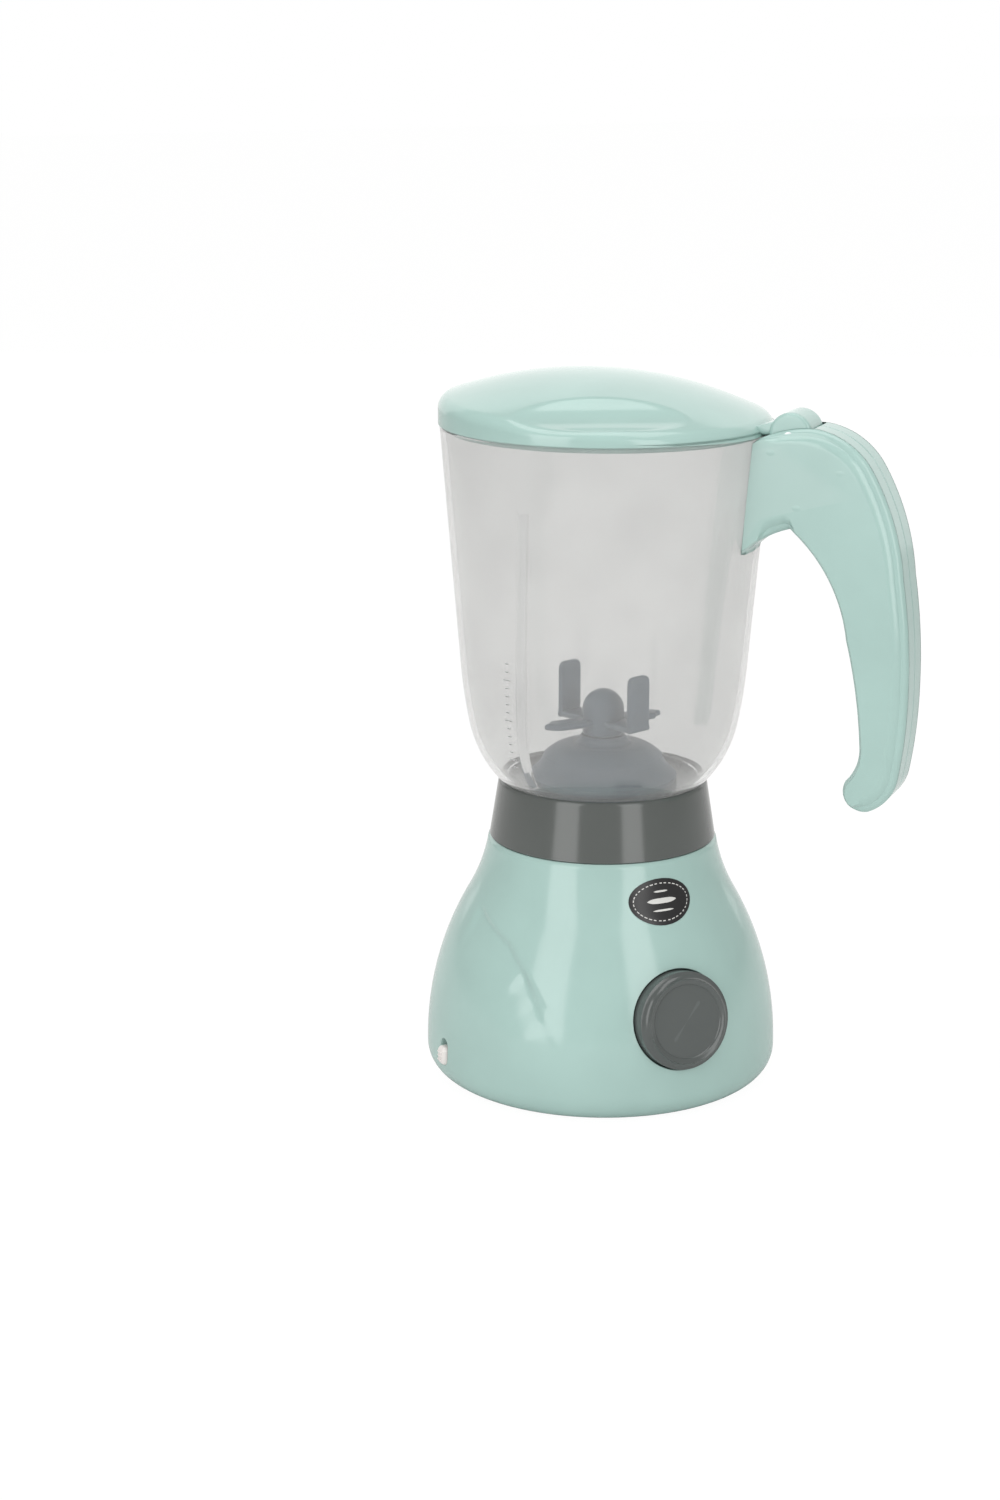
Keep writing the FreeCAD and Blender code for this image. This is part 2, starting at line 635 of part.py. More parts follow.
mesh_large = d["gear_module"] * (d["pinion_teeth"] + d["idler_teeth"]) / 2
mesh_small = d["gear_module"] * (d["idler_small_teeth"] + d["drive_teeth"]) / 2
idler_y = mesh_small
motor_y = mesh_small + mesh_large
frame_floor = d["frame_base"] + d["frame_thick"]
frame_roof = frame_floor + d["frame_height"]

motor_top = d["frame_base"] - d["seat_gap"]
motor_bottom = motor_top - d["motor_length"]
round_can = cylinder("motor_round", d["motor_radius"], d["motor_length"], 0, motor_y, motor_bottom)
flat_can = block("motor_flats", (-d["motor_radius"], d["motor_radius"]),
                 (motor_y - d["motor_flat"] / 2, motor_y + d["motor_flat"] / 2),
                 (motor_bottom, motor_top))
nose = cylinder("motor_nose", d["motor_nose"], d["frame_thick"], 0, motor_y, motor_top)
tabs = [block(f"motor_tab{i}", (side - 1, side + 1), (motor_y - 0.25, motor_y + 0.25),
              (motor_bottom - 1.2, motor_bottom + 1))
        for i, side in enumerate((-d["motor_nose"] * 2, d["motor_nose"] * 2))]
shaft_hole = cylinder("motor_bore", d["motor_shaft"] + d["turn_gap"],
                      d["motor_nose"] * 2 + d["frame_thick"], 0, motor_y, motor_top - d["motor_nose"])
node(cut("motor_can", fuse("motor_solid", common("motor_flat_can", round_can, flat_can), nose, *tabs),
         shaft_hole), "motor_can")

lower_disc = cylinder("lower_disc", d["frame_radius"], d["frame_thick"], z=d["frame_base"])
arm_half = d["motor_radius"] + d["frame_thick"]
motor_arm = block("motor_arm", (-arm_half, arm_half), (0, motor_y + d["motor_flat"] / 2 + d["frame_thick"]),
                  (d["frame_base"], frame_floor))
posts = [cylinder(f"frame_post{i}", d["post_radius"], d["frame_height"] + d["frame_thick"] / 2, x, y,
                  frame_floor - d["frame_thick"] / 2) for i, (x, y) in enumerate(post_places)]
lower_holes = [cylinder(f"lower_hole{i}", pilot, frame_roof - d["frame_base"], x, y, d["frame_base"])
               for i, (x, y) in enumerate(post_places)]
lower_holes += [
    cylinder("nose_hole", d["motor_nose"] + d["turn_gap"], d["frame_thick"], 0, motor_y, d["frame_base"]),
    cylinder("lower_bush_hole", d["bush_radius"], d["frame_thick"], z=d["frame_base"]),
    cylinder("lower_pin_hole", d["idler_pin"] + d["turn_gap"] / 2, d["frame_thick"], 0, idler_y,
             d["frame_base"])]
node(cut("gearbox_lower_plate", fuse("lower_solid", lower_disc, motor_arm, *posts), *lower_holes),
     "gearbox_lower_plate")

upper_disc = cylinder("upper_disc", d["frame_radius"], d["frame_top_thick"], z=frame_roof)
upper_holes = [cylinder(f"upper_hole{i}", pilot, d["frame_top_thick"], x, y, frame_roof)
               for i, (x, y) in enumerate(post_places)]
upper_holes += [
    cylinder("upper_bush_hole", d["bush_radius"], d["frame_top_thick"], z=frame_roof),
    cylinder("upper_pin_hole", d["idler_pin"] + d["turn_gap"] / 2, d["frame_top_thick"], 0, idler_y,
             frame_roof)]
node(cut("gearbox_upper_plate", upper_disc, *upper_holes), "gearbox_upper_plate")
node(group("gearbox_screws", [
    screw(f"frame_screw{i}", x, y, d["frame_base"], frame_top - d["frame_base"] + d["door_screw_length"])
    for i, (x, y) in enumerate(post_places)]), "gearbox_screws")
for label, low, high in (("lower_bush", d["frame_base"], frame_floor),
                         ("upper_bush", frame_roof, frame_top)):
    node(ring(label, d["bush_radius"] - d["turn_gap"] / 2, d["drive_shaft"] + d["turn_gap"],
              high - low, z=low), label)
node(cylinder("idler_pin", d["idler_pin"], frame_top - d["frame_base"], 0, idler_y, d["frame_base"]),
     "idler_pin")


def gear_shape(teeth, width, bore, phase):
    """Spur gear on the XY plane: straight flanked teeth of the sheet's module."""
    module = number(d["gear_module"])
    count = int(round(number(teeth)))
    pitch = module * count / 2
    root, tip = pitch - 1.2 * module, pitch + 0.95 * module
    step = 2 * math.pi / count
    corners = []
    for tooth in range(count):
        middle = step * tooth + math.radians(phase)
        for radius, half in ((root, 0.32), (tip, 0.12)):
            corners.append((radius, middle - half * step))
        for radius, half in ((tip, 0.12), (root, 0.32)):
            corners.append((radius, middle + half * step))
    points = [Vector(r * math.cos(a), r * math.sin(a), 0) for r, a in corners]
    face = Part.Face(Part.makePolygon(points + points[:1]))
    blank = face.extrude(Vector(0, 0, number(width)))
    hole = Part.makeCylinder(number(bore), number(width))
    return blank.cut(hole)


def gear_node(name, steps, x, y, bore):
    """Gears and hubs on one axis; a step is (teeth or hub radius, low, high, phase or None)."""
    solid = None
    for size, low, high, phase in steps:
        width = high - low
        if phase is None:
            piece = Part.makeCylinder(number(size), number(width))
            piece = piece.cut(Part.makeCylinder(number(bore), number(width)))
        else:
            piece = gear_shape(size, width, bore, phase)
        piece.translate(Vector(0, 0, number(low)))
        solid = piece if solid is None else solid.fuse(piece)
    feature = doc.addObject("Part::Feature", name)
    feature.Shape = solid.removeSplitter()
    place(feature, x, y, 0)
    return node(feature, name)


pinion_low = frame_floor + 1
gear_low = pinion_low + 1
drive_low = gear_low + d["gear_width"] + 1.2
node(cylinder("motor_shaft", d["motor_shaft"], d["frame_thick"] + d["motor_nose"] + d["pinion_width"] + 1,
              0, motor_y, motor_top - d["motor_nose"] + d["turn_gap"]), "motor_shaft")
gear_node("motor_pinion", [(d["pinion_teeth"], pinion_low, pinion_low + d["pinion_width"], -90)],
          0, motor_y, d["motor_shaft"] + 0.02)
idler_phase = 90 + 180.0 / number(d["idler_teeth"])
gear_node("idler_gear", [
    (d["idler_pin"] * 2, frame_floor + d["seat_gap"], gear_low, None),
    (d["idler_teeth"], gear_low, gear_low + d["gear_width"], idler_phase),
    (d["idler_small_teeth"], gear_low + d["gear_width"], gear_low + d["gear_width"] + d["small_width"],
     -90),
    (d["idler_pin"] * 2, gear_low + d["gear_width"] + d["small_width"], frame_roof - d["seat_gap"],
     None)], 0, idler_y, d["idler_pin"] + d["turn_gap"])
gear_node("drive_gear", [
    (d["drive_shaft"] * 2, frame_floor + d["seat_gap"], drive_low, None),
    (d["drive_teeth"], drive_low, drive_low + d["drive_width"], 90 + 180.0 / number(d["drive_teeth"])),
    (d["drive_shaft"] * 2, drive_low + d["drive_width"], frame_roof - d["seat_gap"], None)],
    0, 0, d["drive_shaft"] + 0.02)

disc_low = d["deck_height"] + d["loose_gap"] + d["seat_gap"]
disc_top = disc_low + d["dog_disc_thick"]
node(cylinder("drive_shaft", d["drive_shaft"], disc_top + d["dog_height"] / 2 - d["frame_base"],
              z=d["frame_base"]), "drive_shaft")
coupling_low = frame_top + d["loose_gap"]


def sector(name, inner, outer, low, high, angle, width):
    """Lug between two radii, of even width, at an angle about the drive axis."""
    lug = block(name, (inner, outer), (-(as_size(width) / 2), as_size(width) / 2), (low, high))
    spin = Rotation(Vector(0, 0, 1), angle)
    lug.Placement = Placement(Vector(), spin).multiply(lug.Placement)
    for axis in "xyz":
        lug.setExpression(f"Placement.Base.{axis}", None)
    x, y, z = as_size(inner), -(as_size(width) / 2), as_size(low)
    turned_x = x * cosine(angle) - y * sine(angle)
    turned_y = x * sine(angle) + y * cosine(angle)
    for axis, value in zip("xyz", (turned_x, turned_y, z)):
        lug.setExpression(f"Placement.Base.{axis}", value.text)
    return lug


dogs = [sector(f"dog{i}", d["drive_shaft"] * 1.3, d["dog_disc"] - 0.4, disc_low + d["turn_gap"],
               disc_top + d["dog_height"], 90.0 * i, d["drive_shaft"] * 2) for i in range(4)]
coupling_solid = fuse("coupling_solid",
                      cylinder("coupling_neck", d["dog_neck"], disc_top - coupling_low, z=coupling_low),
                      cylinder("coupling_disc", d["dog_disc"], d["dog_disc_thick"], z=disc_low), *dogs)
node(cut("drive_coupling", coupling_solid,
         cylinder("coupling_bore", d["drive_shaft"] + 0.02, disc_top - coupling_low, z=coupling_low)),
     "drive_coupling")

# Collar

collar_rim = d["deck_height"] + d["collar_height"]
flange_top = d["deck_height"] + d["flange_thick"]
collar_ring = revolved("collar_ring_body", [
    (d["collar_foot"], d["deck_height"]),
    (d["collar_top"], collar_rim - d["collar_round"], -d["collar_round"] * 1.05),
    (d["collar_top"] - d["collar_round"], collar_rim),
    (d["collar_bore"], collar_rim),
    (d["collar_bore"], flange_top),
    (d["collar_flange"], flange_top),
    (d["collar_flange"], d["deck_height"]),
])
boss_top = flange_top + 4.2
collar_bosses = [cylinder(f"collar_boss{i}", d["post_radius"], boss_top - flange_top + d["flange_thick"] / 2,
                          x, y, flange_top - d["flange_thick"] / 2)
                 for i, (x, y) in enumerate(collar_screw_places)]
collar_bores = [cylinder(f"collar_bore{i}", pilot, boss_top - d["deck_height"] - 0.6, x, y,
                         d["deck_height"]) for i, (x, y) in enumerate(collar_screw_places)]
node(cut("collar_ring", fuse("collar_solid", collar_ring, *collar_bosses), *collar_bores), "collar_ring")
node(group("collar_screws", [
    screw(f"collar_screw{i}", x, y, deck_under, boss_top - deck_under - 1)
    for i, (x, y) in enumerate(collar_screw_places)]), "collar_screws")

# Button

cap_low = -d["button_skirt"]
cap = revolved("button_cap_body", [
    (0, d["button_out"] - d["button_dish"]),
    (d["button_radius"] - d["button_round"], d["button_out"], d["button_round"] * 1.02),
    (d["button_radius"], d["button_out"] - d["button_round"]),
    (d["button_radius"], cap_low),
    (d["button_radius"] - d["cap_wall"], cap_low),
    (d["button_radius"] - d["cap_wall"], d["button_out"] - d["button_round"] - d["cap_wall"]),
    (d["stem_radius"], d["button_out"] - d["button_round"] - d["cap_wall"]),
    (d["stem_radius"], -d["stem_end"]),
    (0, -d["stem_end"]),
])
spot = on_button_axis(Size(0))
cap.Placement = Placement(Vector(number(spot["x"]), number(spot["y"]), number(spot["z"])), BUTTON_TURN)
for axis in "yz":
    cap.setExpression(f"Placement.Base.{axis}", spot[axis].text)
node(cap, "button_cap")

coil_low = number(-d["well_depth"] + d["wire_radius"] + d["turn_gap"])
coil_high = number(d["button_out"] - d["button_round"] - d["cap_wall"] - d["wire_radius"] * 1.5
                   - d["loose_gap"])
coil_turns = 5
pitch = (coil_high - coil_low) / coil_turns
helix = Part.Wire(Part.makeHelix(pitch, coil_high - coil_low, number(d["coil_radius"])).Edges)
wire_circle = Part.Circle(Vector(number(d["coil_radius"]), 0, 0), Vector(0, 1, 0), number(d["wire_radius"]))
coil_shape = helix.makePipeShell([Part.Wire([wire_circle.toShape()])], True, True)
coil = doc.addObject("Part::Feature", "button_spring")
coil.Shape = coil_shape
coil_spot = on_button_axis(as_size(coil_low))
coil.Placement = Placement(Vector(*(number(coil_spot[axis]) for axis in "xyz")), BUTTON_TURN)
node(coil, "button_spring")

tact_low = tact_face - d["tact_plunger"]
plunger = button_cylinder("tact_plunger", d["stem_radius"] / 2, tact_low - 0.5, tact_face)
tact = doc.addObject("Part::Box", "tact_box")
bind(tact, "Length", d["tact_size"])
bind(tact, "Width", d["tact_size"])
bind(tact, "Height", d["tact_depth"])


def place_on_button(obj, low, width, rise):
    """Box centred on the button axis, starting at a depth."""
    up_y, up_z = sine(d["button_tilt"]), cosine(d["button_tilt"])
    x = -(as_size(width) / 2)
    y = out_y * low - button_face - up_y * rise / 2
    z = out_z * low + d["button_height"] - up_z * rise / 2
    return place(obj, x, y, z, BUTTON_TURN)


place_on_button(tact, tact_low - d["tact_depth"], d["tact_size"], d["tact_size"])
node(fuse("push_switch", tact, plunger), "push_switch")
board = doc.addObject("Part::Box", "board_box")
bind(board, "Length", d["board_width"])
bind(board, "Width", d["board_rise"])
bind(board, "Height", d["board_thick"])
place_on_button(board, tact_back - d["board_thick"], d["board_width"], d["board_rise"])
board_holes = [button_cylinder(f"board_hole{i}", pilot, tact_back - d["board_thick"], tact_back, side)
               for i, side in enumerate((-board_post_side, board_post_side))]
node(cut("switch_board", board, *board_holes), "switch_board")
board_screws = []
for i, side in enumerate((-board_post_side, board_post_side)):
    shank = button_cylinder(f"board_shank{i}", d["screw_radius"], tact_back - d["board_thick"],
                            tact_back + d["door_screw_length"] - 1, side)
    head = button_cylinder(f"board_head{i}", d["screw_head"],
                           tact_back - d["board_thick"] - d["head_thick"],
                           tact_back - d["board_thick"], side)
    board_screws.append(fuse(f"board_screw{i}", shank, head))
node(group("board_screws", board_screws), "board_screws")

# Slide switch

flange_face = -(wall_inside - d["loose_gap"] * 2)
body_face = flange_face + 1 + d["seat_gap"]
knob = block("slider_knob", (slider_face, flange_face + 0.5),
             (-d["slider_width"] / 2, d["slider_width"] / 2),
             (d["slider_height"] - d["slider_rise"] / 2, d["slider_height"] + d["slider_rise"] / 2))
knob_round = doc.addObject("Part::Fillet", "slider_knob_round")
knob_round.Base = knob
doc.recompute()
outer_edges = [i + 1 for i, edge in enumerate(knob.Shape.Edges)
               if all(v.X < number(slider_face) + 0.01 for v in edge.Vertexes)]
knob_round.Edges = [(i, 0.8, 0.8) for i in outer_edges]
flange = block("slider_flange", (flange_face, flange_face + 1),
               (-d["slider_flange"] / 2, d["slider_flange"] / 2),
               (d["slider_height"] - d["slider_rise"] * 0.75, d["slider_height"] + d["slider_rise"] * 0.75))
node(fuse("power_slider", knob_round, flange), "power_slider")
node(block("slide_switch", (body_face, body_face + d["slide_body_depth"]),
           (-d["slider_flange"] / 2, d["slider_flange"] / 2),
           (shelf_top + d["seat_gap"], shelf_top + d["seat_gap"] + d["slide_body_rise"])), "slide_switch")

# Badge

skin = d["turn_gap"]
badge_ring = revolved("badge_ring", [
    (d["waist_radius"] + skin, d["waist_height"], d["neck_bow"] - skin),
    (d["deck_radius"] + skin, deck_corner),
    (d["deck_radius"] + skin + d["badge_thick"], deck_corner, -(d["neck_bow"] - skin - d["badge_thick"])),
    (d["waist_radius"] + skin + d["badge_thick"], d["waist_height"]),
])
oval = doc.addObject("Part::Ellipse", "badge_oval")
bind(oval, "MajorRadius", d["badge_width"] / 2)
bind(oval, "MinorRadius", d["badge_rise"] / 2)
place(oval, 0, -(d["base_radius"] + 2), d["badge_height"], LEVEL_FRONT)
oval_prism = doc.addObject("Part::Extrusion", "badge_prism")
oval_prism.Base = oval
oval_prism.DirMode = "Custom"
oval_prism.Dir = Vector(0, 1, 0)
bind(oval_prism, "LengthFwd", d["base_radius"])
oval_prism.Solid = True
node(common("front_badge", badge_ring, oval_prism), "front_badge")

# Jug, in a frame whose handle points along +X

shoulder = collar_rim + d["seat_gap"]
floor_top = shoulder - d["jug_floor"] / 2
floor_low = floor_top - d["jug_floor"]
hip, belly = shoulder + d["hip_height"], shoulder + d["belly_height"]
rim = shoulder + d["jug_height"]
foot_low = shoulder - d["foot_length"]
wall = d["jug_wall"]
HANDLE_TURN = d["jug_turn"] - 90
jug_shell = revolved("jug_shell", [
    (d["jug_foot"], foot_low),
    (d["jug_foot"], shoulder),
    (d["shoulder_radius"], shoulder, -d["hip_bow"]),
    (d["hip_radius"], hip, -d["belly_bow"]),
    (d["belly_radius"], belly),
    (d["rim_radius"], rim),
    (d["rim_radius"] - wall, rim),
    (d["belly_radius"] - wall, belly, d["belly_bow"] - wall),
    (d["hip_radius"] - wall, hip + wall / 4, d["hip_bow"] - wall),
    (d["shoulder_radius"] - wall, shoulder + wall / 2),
    (d["jug_foot"] - wall, floor_top),
    (d["stub_radius"] + d["turn_gap"], floor_top),
    (d["stub_radius"] + d["turn_gap"], floor_low),
    (d["jug_foot"] - wall, floor_low),
    (d["jug_foot"] - wall, foot_low),
])
lug_top = rim - d["lug_drop"]
lug_low = lug_top - d["lug_rise"]
side_slope = (d["rim_radius"] - d["belly_radius"]) / (rim - belly)


def jug_outside(height):
    """Outer radius of the jug's straight side at a height."""
    return d["rim_radius"] - side_slope * (rim - height)


lug_end = d["rim_radius"] + d["lug_reach"] - d["handle_wall"]
lug = flat_body("handle_lug", "XZ_Plane", [
    (jug_outside(lug_low) - wall / 2, lug_low),
    (jug_outside(lug_top) - wall / 2, lug_top),
    (lug_end, lug_top),
    (jug_outside(lug_low) + d["lug_reach"] / 3, lug_low),
], d["lug_thick"])

handle_screws = [(d["rim_radius"] + 5.4, rim - 13.0), (d["rim_radius"] + 25.4, rim - 10.2),
                 (d["rim_radius"] + 11.6, rim - 22.4)]


def across(name, radius, x, z, low, high):
    """Cylinder across the handle, between two distances from its middle plane."""
    return cylinder(name, radius, as_size(high) - low, x, as_size(high), z, LEVEL_FRONT)


lug_holes = [across(f"lug_hole{i}", pilot, x, z, -d["lug_thick"], d["lug_thick"])
             for i, (x, z) in enumerate(handle_screws[::2])]
jug = cut("jug_vessel", fuse("jug_solid", jug_shell, lug), *lug_holes)
node(turned(jug, HANDLE_TURN), "jug_vessel")

# Handle outline, clockwise from the top beside the jug: (from the rim radius, below the rim)
HANDLE_OUTLINE = (
    (-4.2, -3.2, 36.0),
    (15.8, 3.3, 24.0),
    (34.4, -7.9, 75.0),
    (44.8, -39.8, 190.0),
    (47.4, -74.2, 150.0),
    (45.2, -99.2, 14.0),
    (36.4, -110.3, 6.2),
    (29.4, -101.4, -14.0),
    (33.3, -90.2, -161.0),
    (28.2, -58.5, -49.0),
    (10.2, -26.7, -30.0),
    (-4.2, -35.4),
)
outline = doc.addObject("Sketcher::SketchObject", "handle_outline")
outline.Placement = Placement(Vector(), LEVEL_FRONT)
draw(outline, [(d["rim_radius"] + p[0], rim + p[1]) + ((as_size(p[2]),) if len(p) == 3 else ())
               for p in HANDLE_OUTLINE])
doc.recompute()


def inset(name, distance):
    """Handle outline drawn in by a distance."""
    obj = doc.addObject("Part::Feature", name)
    obj.Shape = outline.Shape.makeOffset2D(-number(distance))
    return obj


def slab(name, profile, thickness, way):
    """Profile of the handle pushed out from its middle plane to one side."""
    obj = doc.addObject("Part::Extrusion", name)
    obj.Base = profile
    obj.DirMode = "Custom"
    obj.Dir = Vector(0, way, 0)
    bind(obj, "LengthFwd", thickness)
    obj.Solid = True
    return obj


room_outline = inset("handle_room_outline", d["handle_wall"])
panel_outline = inset("handle_panel_outline", d["panel_inset"])
hinge_z = rim + d["hinge_lift"]
jug_space = cone("jug_space", d["belly_radius"] + d["turn_gap"] * 2, d["rim_radius"] + d["turn_gap"] * 2,
                 rim - belly, z=belly)
jug_above = cylinder("jug_above", d["rim_radius"] + d["turn_gap"] * 2, d["barrel_radius"] * 2, z=rim)
notch_half = d["barrel_width"] / 2 + d["loose_gap"]
barrel_room = across("barrel_room", d["barrel_radius"] + d["loose_gap"] * 1.5, d["hinge_reach"], hinge_z,
                     -notch_half, notch_half)
tongue_room = block("tongue_room", (d["rim_radius"] - wall, d["hinge_reach"]), (-notch_half, notch_half),
                    (rim - d["loose_gap"], rim + d["barrel_radius"] * 2))
pin_room = across("pin_room", d["pin_radius"] + d["turn_gap"] / 2, d["hinge_reach"], hinge_z,
                  -d["handle_half"] * 2, d["handle_half"] * 2)
lug_half = d["lug_thick"] / 2 + d["seat_gap"]
lug_room = block("lug_room", (d["belly_radius"], lug_end + d["loose_gap"]), (-lug_half, lug_half),
                 (lug_low - d["loose_gap"], lug_top + d["loose_gap"]))
full_half = d["handle_half"] + d["panel_rise"]
for way, label in ((-1, "handle_front_shell"), (1, "handle_rear_shell")):
    side = slab(f"{label}_side", outline, d["handle_half"], way)
    panel = slab(f"{label}_panel", panel_outline, full_half, way)
    room = slab(f"{label}_room", room_outline, d["handle_half"] - d["handle_wall"] / 2, way)
    hollow = cut(f"{label}_hollow", fuse(f"{label}_block", side, panel), room)
    low, high = (-d["handle_half"], Size(0)) if way < 0 else (Size(0), d["handle_half"])
    bosses = [across(f"{label}_boss{i}", d["boss_radius"], x, z, low, high)
              for i, (x, z) in enumerate(handle_screws)]
    if way < 0:
        bores = [across(f"{label}_bore{i}", pilot, x, z, -d["handle_half"] + 1.2, Size(0))
                 for i, (x, z) in enumerate(handle_screws)]
    else:
        bores = [across(f"{label}_bore{i}", pilot, x, z, Size(0), full_half * 2)
                 for i, (x, z) in enumerate(handle_screws)]
        bores += [across(f"{label}_head{i}", d["screw_head"] + d["turn_gap"], x, z,
                         full_half - d["head_thick"] - d["seat_gap"] * 2, full_half * 2)
                  for i, (x, z) in enumerate(handle_screws)]
    whole = fuse(f"{label}_whole", hollow, *bosses)
    half = cut(label, whole, jug_space, jug_above, barrel_room, tongue_room, pin_room, lug_room, *bores)
    node(turned(half, HANDLE_TURN), label)

screw_shapes = []
head_seat = full_half - d["head_thick"] - d["seat_gap"]
for i, (x, z) in enumerate(handle_screws):
    shank = across(f"handle_shank{i}", d["screw_radius"], x, z, -d["handle_half"] + 1.6, head_seat)
    head = across(f"handle_head{i}", d["screw_head"], x, z, head_seat, head_seat + d["head_thick"])
    screw_shapes.append(fuse(f"handle_screw{i}", shank, head))
node(turned(group("handle_screw_set", screw_shapes), HANDLE_TURN), "handle_screws")
node(turned(across("hinge_pin", d["pin_radius"], d["hinge_reach"], hinge_z, -d["handle_half"] + d["seat_gap"],
                   d["handle_half"] - d["seat_gap"]), HANDLE_TURN), "lid_hinge_pin")

# Blade seat, bush, ring nut and blades

neck_top = floor_top + d["neck_height"]
seat_bore = d["spindle_radius"] + d["bush_wall"] + d["turn_gap"] / 2
stub_low = floor_top - d["stub_length"]
node(revolved("blade_seat", [
    (d["stub_radius"], stub_low),
    (d["stub_radius"], floor_top),
    (d["seat_radius"], floor_top),
    (d["seat_radius"], floor_top + d["seat_foot"], d["cone_bow"]),
    (d["cone_radius"], floor_top + d["cone_height"], -d["cone_bow"]),
    (d["neck_radius"] + 1.6, neck_top - 2.6, 2),
    (d["neck_radius"], neck_top - 1),
    (d["neck_radius"] - 0.6, neck_top),
    (seat_bore, neck_top),
    (seat_bore, stub_low),
]), "blade_seat")
node(ring("ring_nut", d["nut_radius"], d["stub_radius"] + d["turn_gap"], d["nut_thick"],
          z=floor_low - d["nut_thick"] - d["turn_gap"]), "ring_nut")
node(ring("spindle_bush", d["spindle_radius"] + d["bush_wall"], d["spindle_radius"] + d["turn_gap"],
          neck_top - stub_low, z=stub_low), "spindle_bush")

hub_low = neck_top + d["loose_gap"]
hub_high = hub_low + d["hub_rise"]
blade_low = neck_top + d["blade_lift"]
blade_top = neck_top + d["upright_rise"]
front_of_upright = d["upright_turn"] - 90
hub = cylinder("hub", d["hub_radius"], hub_high - hub_low, z=hub_low)
dome = sphere("hub_dome", d["hub_radius"], z=hub_high)
half_width = d["blade_width"] / 2
thick = d["blade_thick"]
blades = []
for i in range(2):
    arm = block(f"upright_arm{i}", (0, d["upright_reach"] + thick / 2), (-half_width, half_width),
                (blade_low, blade_low + thick))
    paddle = flat_body(f"upright_paddle{i}", "YZ_Plane", [
        (-half_width, blade_low), (-half_width, blade_top - 2, 2),
        (-half_width + 2, blade_top), (half_width - 2, blade_top, 2),
        (half_width, blade_top - 2), (half_width, blade_low)], thick)
    paddle.Placement = Placement(Vector(number(d["upright_reach"]), 0, 0), Rotation())
    paddle.setExpression("Placement.Base.x", d["upright_reach"].text)
    upright = turned(fuse(f"upright{i}", arm, paddle), front_of_upright + 180 * i)
    blades.append(upright)
    wing = flat_body(f"flat_wing{i}", "XY_Plane", [
        (0, -half_width * 0.8), (0, half_width * 0.8),
        (d["flat_reach"] - 5, half_width * 0.8, 7),
        (d["flat_reach"], -half_width * 0.1),
        (d["flat_reach"] - 2.2, -half_width * 0.35),
        (d["flat_reach"] - 3.5, -half_width * 0.8)], thick)
    wing.Placement = Placement(Vector(0, 0, number(blade_low + thick / 2)), Rotation())
    wing.setExpression("Placement.Base.z", (blade_low + thick / 2).text)
    blades.append(turned(wing, front_of_upright + d["flat_turn"] + 180 * i))
spindle_top = hub_high
rotor = cut("blade_rotor", fuse("rotor_solid", hub, dome, *blades),
            cylinder("rotor_bore", d["spindle_radius"] + 0.02, spindle_top - hub_low + d["seat_gap"],
                     z=hub_low))
node(rotor, "blade_rotor")

cup_low = disc_top + d["loose_gap"]
cup_floor = disc_top + d["dog_height"] + d["loose_gap"] * 2
cup_high = cup_floor + 1.6
hub_end = stub_low - d["loose_gap"]
cup_solid = fuse("cup_solid",
                 cylinder("cup_outer", d["cup_radius"], cup_high - cup_low, z=cup_low),
                 cylinder("cup_hub", d["dog_neck"], hub_end - cup_floor, z=cup_floor))
cup_room = cylinder("cup_room", d["dog_disc"] + d["loose_gap"], cup_floor - cup_low, z=cup_low)
cup_ribs = [sector(f"cup_rib{i}", d["drive_shaft"] * 2.2, d["cup_radius"] - 0.5, cup_low, cup_floor,
                   45.0 + 90.0 * i, d["drive_shaft"] * 1.6) for i in range(4)]
cup = fuse("cup_ribbed", cut("cup_hollow", cup_solid, cup_room), *cup_ribs)
spindle_low = cup_floor + d["loose_gap"]
node(cut("jug_coupling", cup, cylinder("cup_bore", d["spindle_radius"] + 0.02, hub_end - spindle_low,
                                       z=spindle_low)), "jug_coupling")
node(cylinder("blade_spindle", d["spindle_radius"], spindle_top - spindle_low - d["turn_gap"],
              z=spindle_low + d["turn_gap"]), "blade_spindle")

# Lid, in the jug's frame

lid_low = rim + d["seat_gap"] * 1.5
lid_top = lid_low + d["lid_crown"]
dome_centre = lid_top - d["lid_bow"]
lid_disc = cylinder("lid_disc", d["lid_radius"], d["lid_crown"], z=lid_low)
lid_dome = sphere("lid_dome", d["lid_bow"], x=-d["lid_shift"], z=dome_centre)
inner_dome = sphere("lid_inner_dome", d["lid_bow"] - d["lid_wall"], x=-d["lid_shift"], z=dome_centre)
skirt_radius = d["rim_radius"] - wall - d["skirt_gap"]
room_radius = skirt_radius - d["skirt_wall"]
scoops, scoop_walls = [], []
scoop_z = lid_low + d["scoop_floor"] + d["scoop_radius"]
for i, way in enumerate((-1, 1)):
    angle = number(d["scoop_turn"]) * way
    for radius, store in ((d["scoop_radius"], scoops), (d["scoop_radius"] + d["lid_wall"], scoop_walls)):
        tool = cylinder(f"scoop{len(scoops) + len(scoop_walls)}", radius, d["lid_radius"] * 2)
        lay = Rotation(Vector(0, 0, 1), angle).multiply(LEVEL_FRONT)
        reach = d["scoop_reach"]
        base = Vector(number(reach), number(d["lid_radius"]), number(scoop_z))
        tool.Placement = Placement(Rotation(Vector(0, 0, 1), angle).multVec(base), lay)
        tool.setExpression("Placement.Base.x",
                           (reach * cosine(angle) - d["lid_radius"] * sine(angle)).text)
        tool.setExpression("Placement.Base.y",
                           (reach * sine(angle) + d["lid_radius"] * cosine(angle)).text)
        tool.setExpression("Placement.Base.z", scoop_z.text)
        store.append(tool)
lid_skirt = cylinder("lid_skirt", skirt_radius, d["skirt_drop"] + d["lid_wall"], z=rim - d["skirt_drop"])
